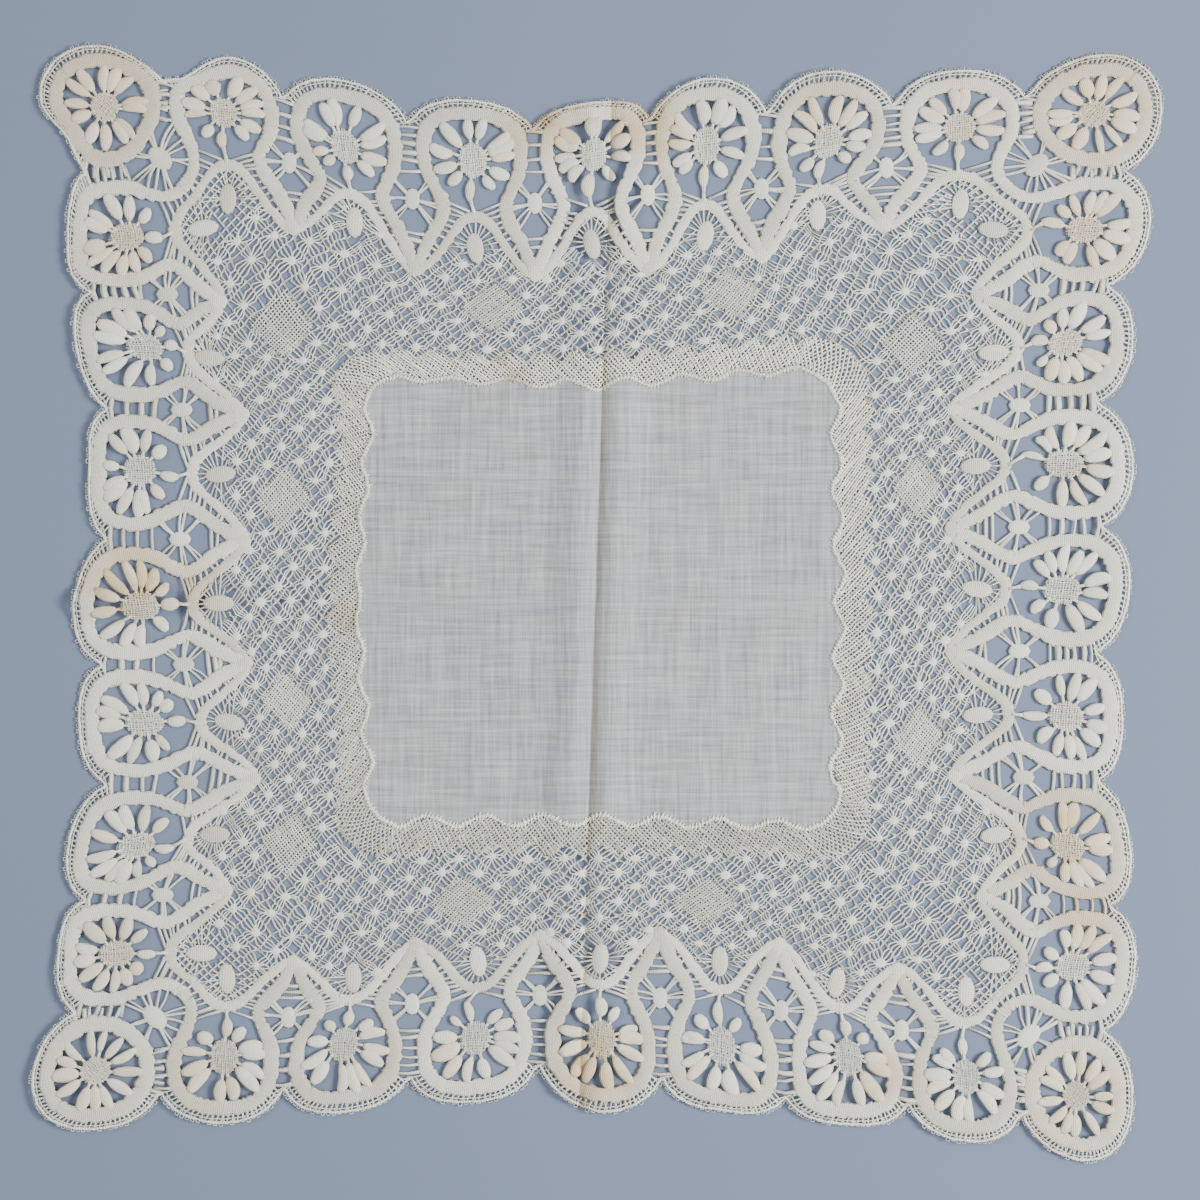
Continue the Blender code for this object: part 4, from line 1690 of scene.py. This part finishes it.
# %% Cloth material
def streaks(nodes, links, place, stretch):
    """Noise drawn out along one direction."""
    mapping = add_node(nodes, "ShaderNodeMapping")
    mapping.inputs["Scale"].default_value = stretch
    links.new(place.outputs["Object"], mapping.inputs["Vector"])
    noise = add_node(nodes, "ShaderNodeTexNoise")
    noise.inputs["Scale"].default_value = 1.0
    noise.inputs["Detail"].default_value = 4.0
    links.new(mapping.outputs["Vector"], noise.inputs["Vector"])
    return noise


# Stretch of each set of streaks: waves per metre along X and Y
CLOTH_STREAKS = (
    (30.0, 900.0, 1.0),
    (900.0, 30.0, 1.0),
    (90.0, 2200.0, 1.0),
    (2200.0, 90.0, 1.0),
)


def batiste():
    material = bpy.data.materials.new("centre_batiste")
    material.use_nodes = True
    nodes, links = material.node_tree.nodes, material.node_tree.links
    shader = nodes["Principled BSDF"]
    shader.inputs["Roughness"].default_value = 0.8
    shader.inputs["Specular IOR Level"].default_value = 0.25
    place = add_node(nodes, "ShaderNodeTexCoord")
    total = None
    for stretch in CLOTH_STREAKS:
        more = streaks(nodes, links, place, stretch).outputs["Fac"]
        if total is None:
            total = more
        else:
            adding = add_node(nodes, "ShaderNodeMath", operation="ADD")
            links.new(total, adding.inputs[0])
            links.new(more, adding.inputs[1])
            total = adding.outputs["Value"]
    tones = add_node(nodes, "ShaderNodeMapRange")
    links.new(total, tones.inputs["Value"])
    tones.inputs["From Min"].default_value = 1.6
    tones.inputs["From Max"].default_value = 2.4
    tint = add_node(nodes, "ShaderNodeMix", data_type="RGBA")
    links.new(tones.outputs["Result"], tint.inputs["Factor"])
    tint.inputs["A"].default_value = (0.33, 0.35, 0.37, 1.0)
    tint.inputs["B"].default_value = (0.60, 0.61, 0.61, 1.0)
    warm = add_node(nodes, "ShaderNodeTexNoise")
    warm.inputs["Scale"].default_value = 60.0
    warm.inputs["Detail"].default_value = 3.0
    links.new(place.outputs["Object"], warm.inputs["Vector"])
    hue = add_node(nodes, "ShaderNodeMix", data_type="RGBA")
    links.new(warm.outputs["Fac"], hue.inputs["Factor"])
    hue.inputs["A"].default_value = (0.94, 0.98, 1.06, 1.0)
    hue.inputs["B"].default_value = (1.06, 1.01, 0.93, 1.0)
    colour = tint.outputs["Result"]
    # The warm noise shifts the hue, and the crease ramp paints highlight and shade along the long
    # crease
    for layer in (hue.outputs["Result"], painted_crease_light(nodes, links, place)):
        colour = tinted(nodes, links, colour, layer)
    links.new(colour, shader.inputs["Base Color"])
    sheer = add_node(nodes, "ShaderNodeMapRange")
    links.new(total, sheer.inputs["Value"])
    sheer.inputs["From Min"].default_value = 1.6
    sheer.inputs["From Max"].default_value = 2.4
    sheer.inputs["To Min"].default_value = 0.84
    sheer.inputs["To Max"].default_value = 0.98
    links.new(sheer.outputs["Result"], shader.inputs["Alpha"])
    bump = add_node(nodes, "ShaderNodeBump")
    bump.inputs["Strength"].default_value = 0.4
    bump.inputs["Distance"].default_value = 0.0001
    links.new(total, bump.inputs["Height"])
    links.new(bump.outputs["Normal"], shader.inputs["Normal"])
    return material


cloth_mesh.materials.append(batiste())

# %% [markdown]
# A cord is laid along the raw edge of the cloth, and a needle goes over and over it to hold cloth and
# lace together. The cord is one closed sweep, uneven in width. Every stitch is a short sweep across it
# that rises in its middle, and each leans and reaches differently, as hand sewing does.

# %% Seam cord and overcasting
seam_line = np.vstack(
    [np.vstack([seam_side(side, 120), seam_corner(side, 12)]) for side in SIDES]
)
ahead = np.roll(seam_line, -1, axis=0) - np.roll(seam_line, 1, axis=0)
ahead /= np.linalg.norm(ahead, axis=1, keepdims=True)
aside = np.stack([-ahead[:, 1], ahead[:, 0]], axis=-1)
rough_line = seam_line + aside * rng.normal(0, 0.13, (len(seam_line), 1))
cord_width = 0.95 * (1 + rng.normal(0, 0.25, len(seam_line)))
seam_cord = joined(
    "seam_cord",
    [swept(rough_line[None], cord_width, 0.7, 0.6, sides=6, closed=True, shade=1.0)],
    cord_linen,
)
share = np.linspace(-1, 1, 5)[None, :, None]
reach = rng.uniform(0.55, 1.25, (len(seam_line), 1, 1))
slant = rng.normal(0.3, 0.15, (len(seam_line), 1, 1))
stitch_paths = (
    rough_line[:, None, :]
    + aside[:, None, :] * share * reach
    + ahead[:, None, :] * share * slant
)
stitch_width = rng.uniform(0.3, 0.5, (len(seam_line), 1))
stitches = joined(
    "seam_stitches",
    [swept(stitch_paths, stitch_width, 0.3, 0.6 + 0.5 * (1 - share[..., 0] ** 2), shade=0.9)],
    cord_linen,
)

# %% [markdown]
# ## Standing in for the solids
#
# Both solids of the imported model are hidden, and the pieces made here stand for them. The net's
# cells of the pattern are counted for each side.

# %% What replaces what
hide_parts("lace_border")
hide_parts("centre_cloth")
trims["back"] += [fan_hearts, net_diamonds, edge_cord, foot_net]
CELL = 0.25
grid = np.arange(-28, 28, CELL)
spots = np.stack(np.meshgrid(grid, grid), axis=-1).reshape(-1, 2)
netted = in_net(spots) | (in_corner_net(spots) & within(spots, NET_OUTLINE))
cells = np.bincount(side_of(spots[netted]), minlength=4)

# %% [markdown]
# ## Table, light and camera
#
# White lace shows best on a ground that is darker than it is, so the table is a matt blue grey. A soft
# light from the right gives each thread a small shadow, and a wider one fills from the left. The camera
# looks straight down through a long lens, far enough off that the square keeps its shape.

# %% Floor, light and camera
bm = bmesh.new()
bmesh.ops.create_grid(bm, x_segments=1, y_segments=1, size=2.0)
floor_mesh = bpy.data.meshes.new("table_top")
bm.to_mesh(floor_mesh)
bm.free()
floor = bpy.data.objects.new("table_top", floor_mesh)
bpy.context.scene.collection.objects.link(floor)
paper = bpy.data.materials.new("pale_table")
paper.use_nodes = True
matt = paper.node_tree.nodes["Principled BSDF"]
matt.inputs["Base Color"].default_value = (0.17, 0.21, 0.30, 1.0)
matt.inputs["Roughness"].default_value = 0.9
floor_mesh.materials.append(paper)
floor.location.z = -0.0001

VIEW_WIDTH = 0.33
LENS = 85.0
SENSOR = 36.0
camera_data = bpy.data.cameras.new("camera")
camera_data.lens = LENS
camera_data.sensor_width = SENSOR
camera = bpy.data.objects.new("camera", camera_data)
camera.location = (-middle[0] * MM, -middle[1] * MM, VIEW_WIDTH * LENS / SENSOR)
bpy.context.scene.collection.objects.link(camera)
bpy.context.scene.camera = camera


def soft_light(name, place, size, power):
    data = bpy.data.lights.new(name, "AREA")
    data.shape = "DISK"
    data.size = size
    data.energy = power
    light = bpy.data.objects.new(name, data)
    light.location = place
    aim = Vector((0.0, 0.0, 0.0)) - Vector(place)
    light.rotation_euler = aim.to_track_quat("-Z", "Y").to_euler()
    bpy.context.scene.collection.objects.link(light)


soft_light("window", (0.9, -0.05, 0.75), 0.5, 24.0)
soft_light("room", (-0.6, 0.2, 1.1), 1.4, 10.0)
world = bpy.data.worlds.new("studio")
world.use_nodes = True
world.node_tree.nodes["Background"].inputs["Color"].default_value = (0.9, 0.94, 1.0, 1.0)
world.node_tree.nodes["Background"].inputs["Strength"].default_value = 0.35
bpy.context.scene.world = world
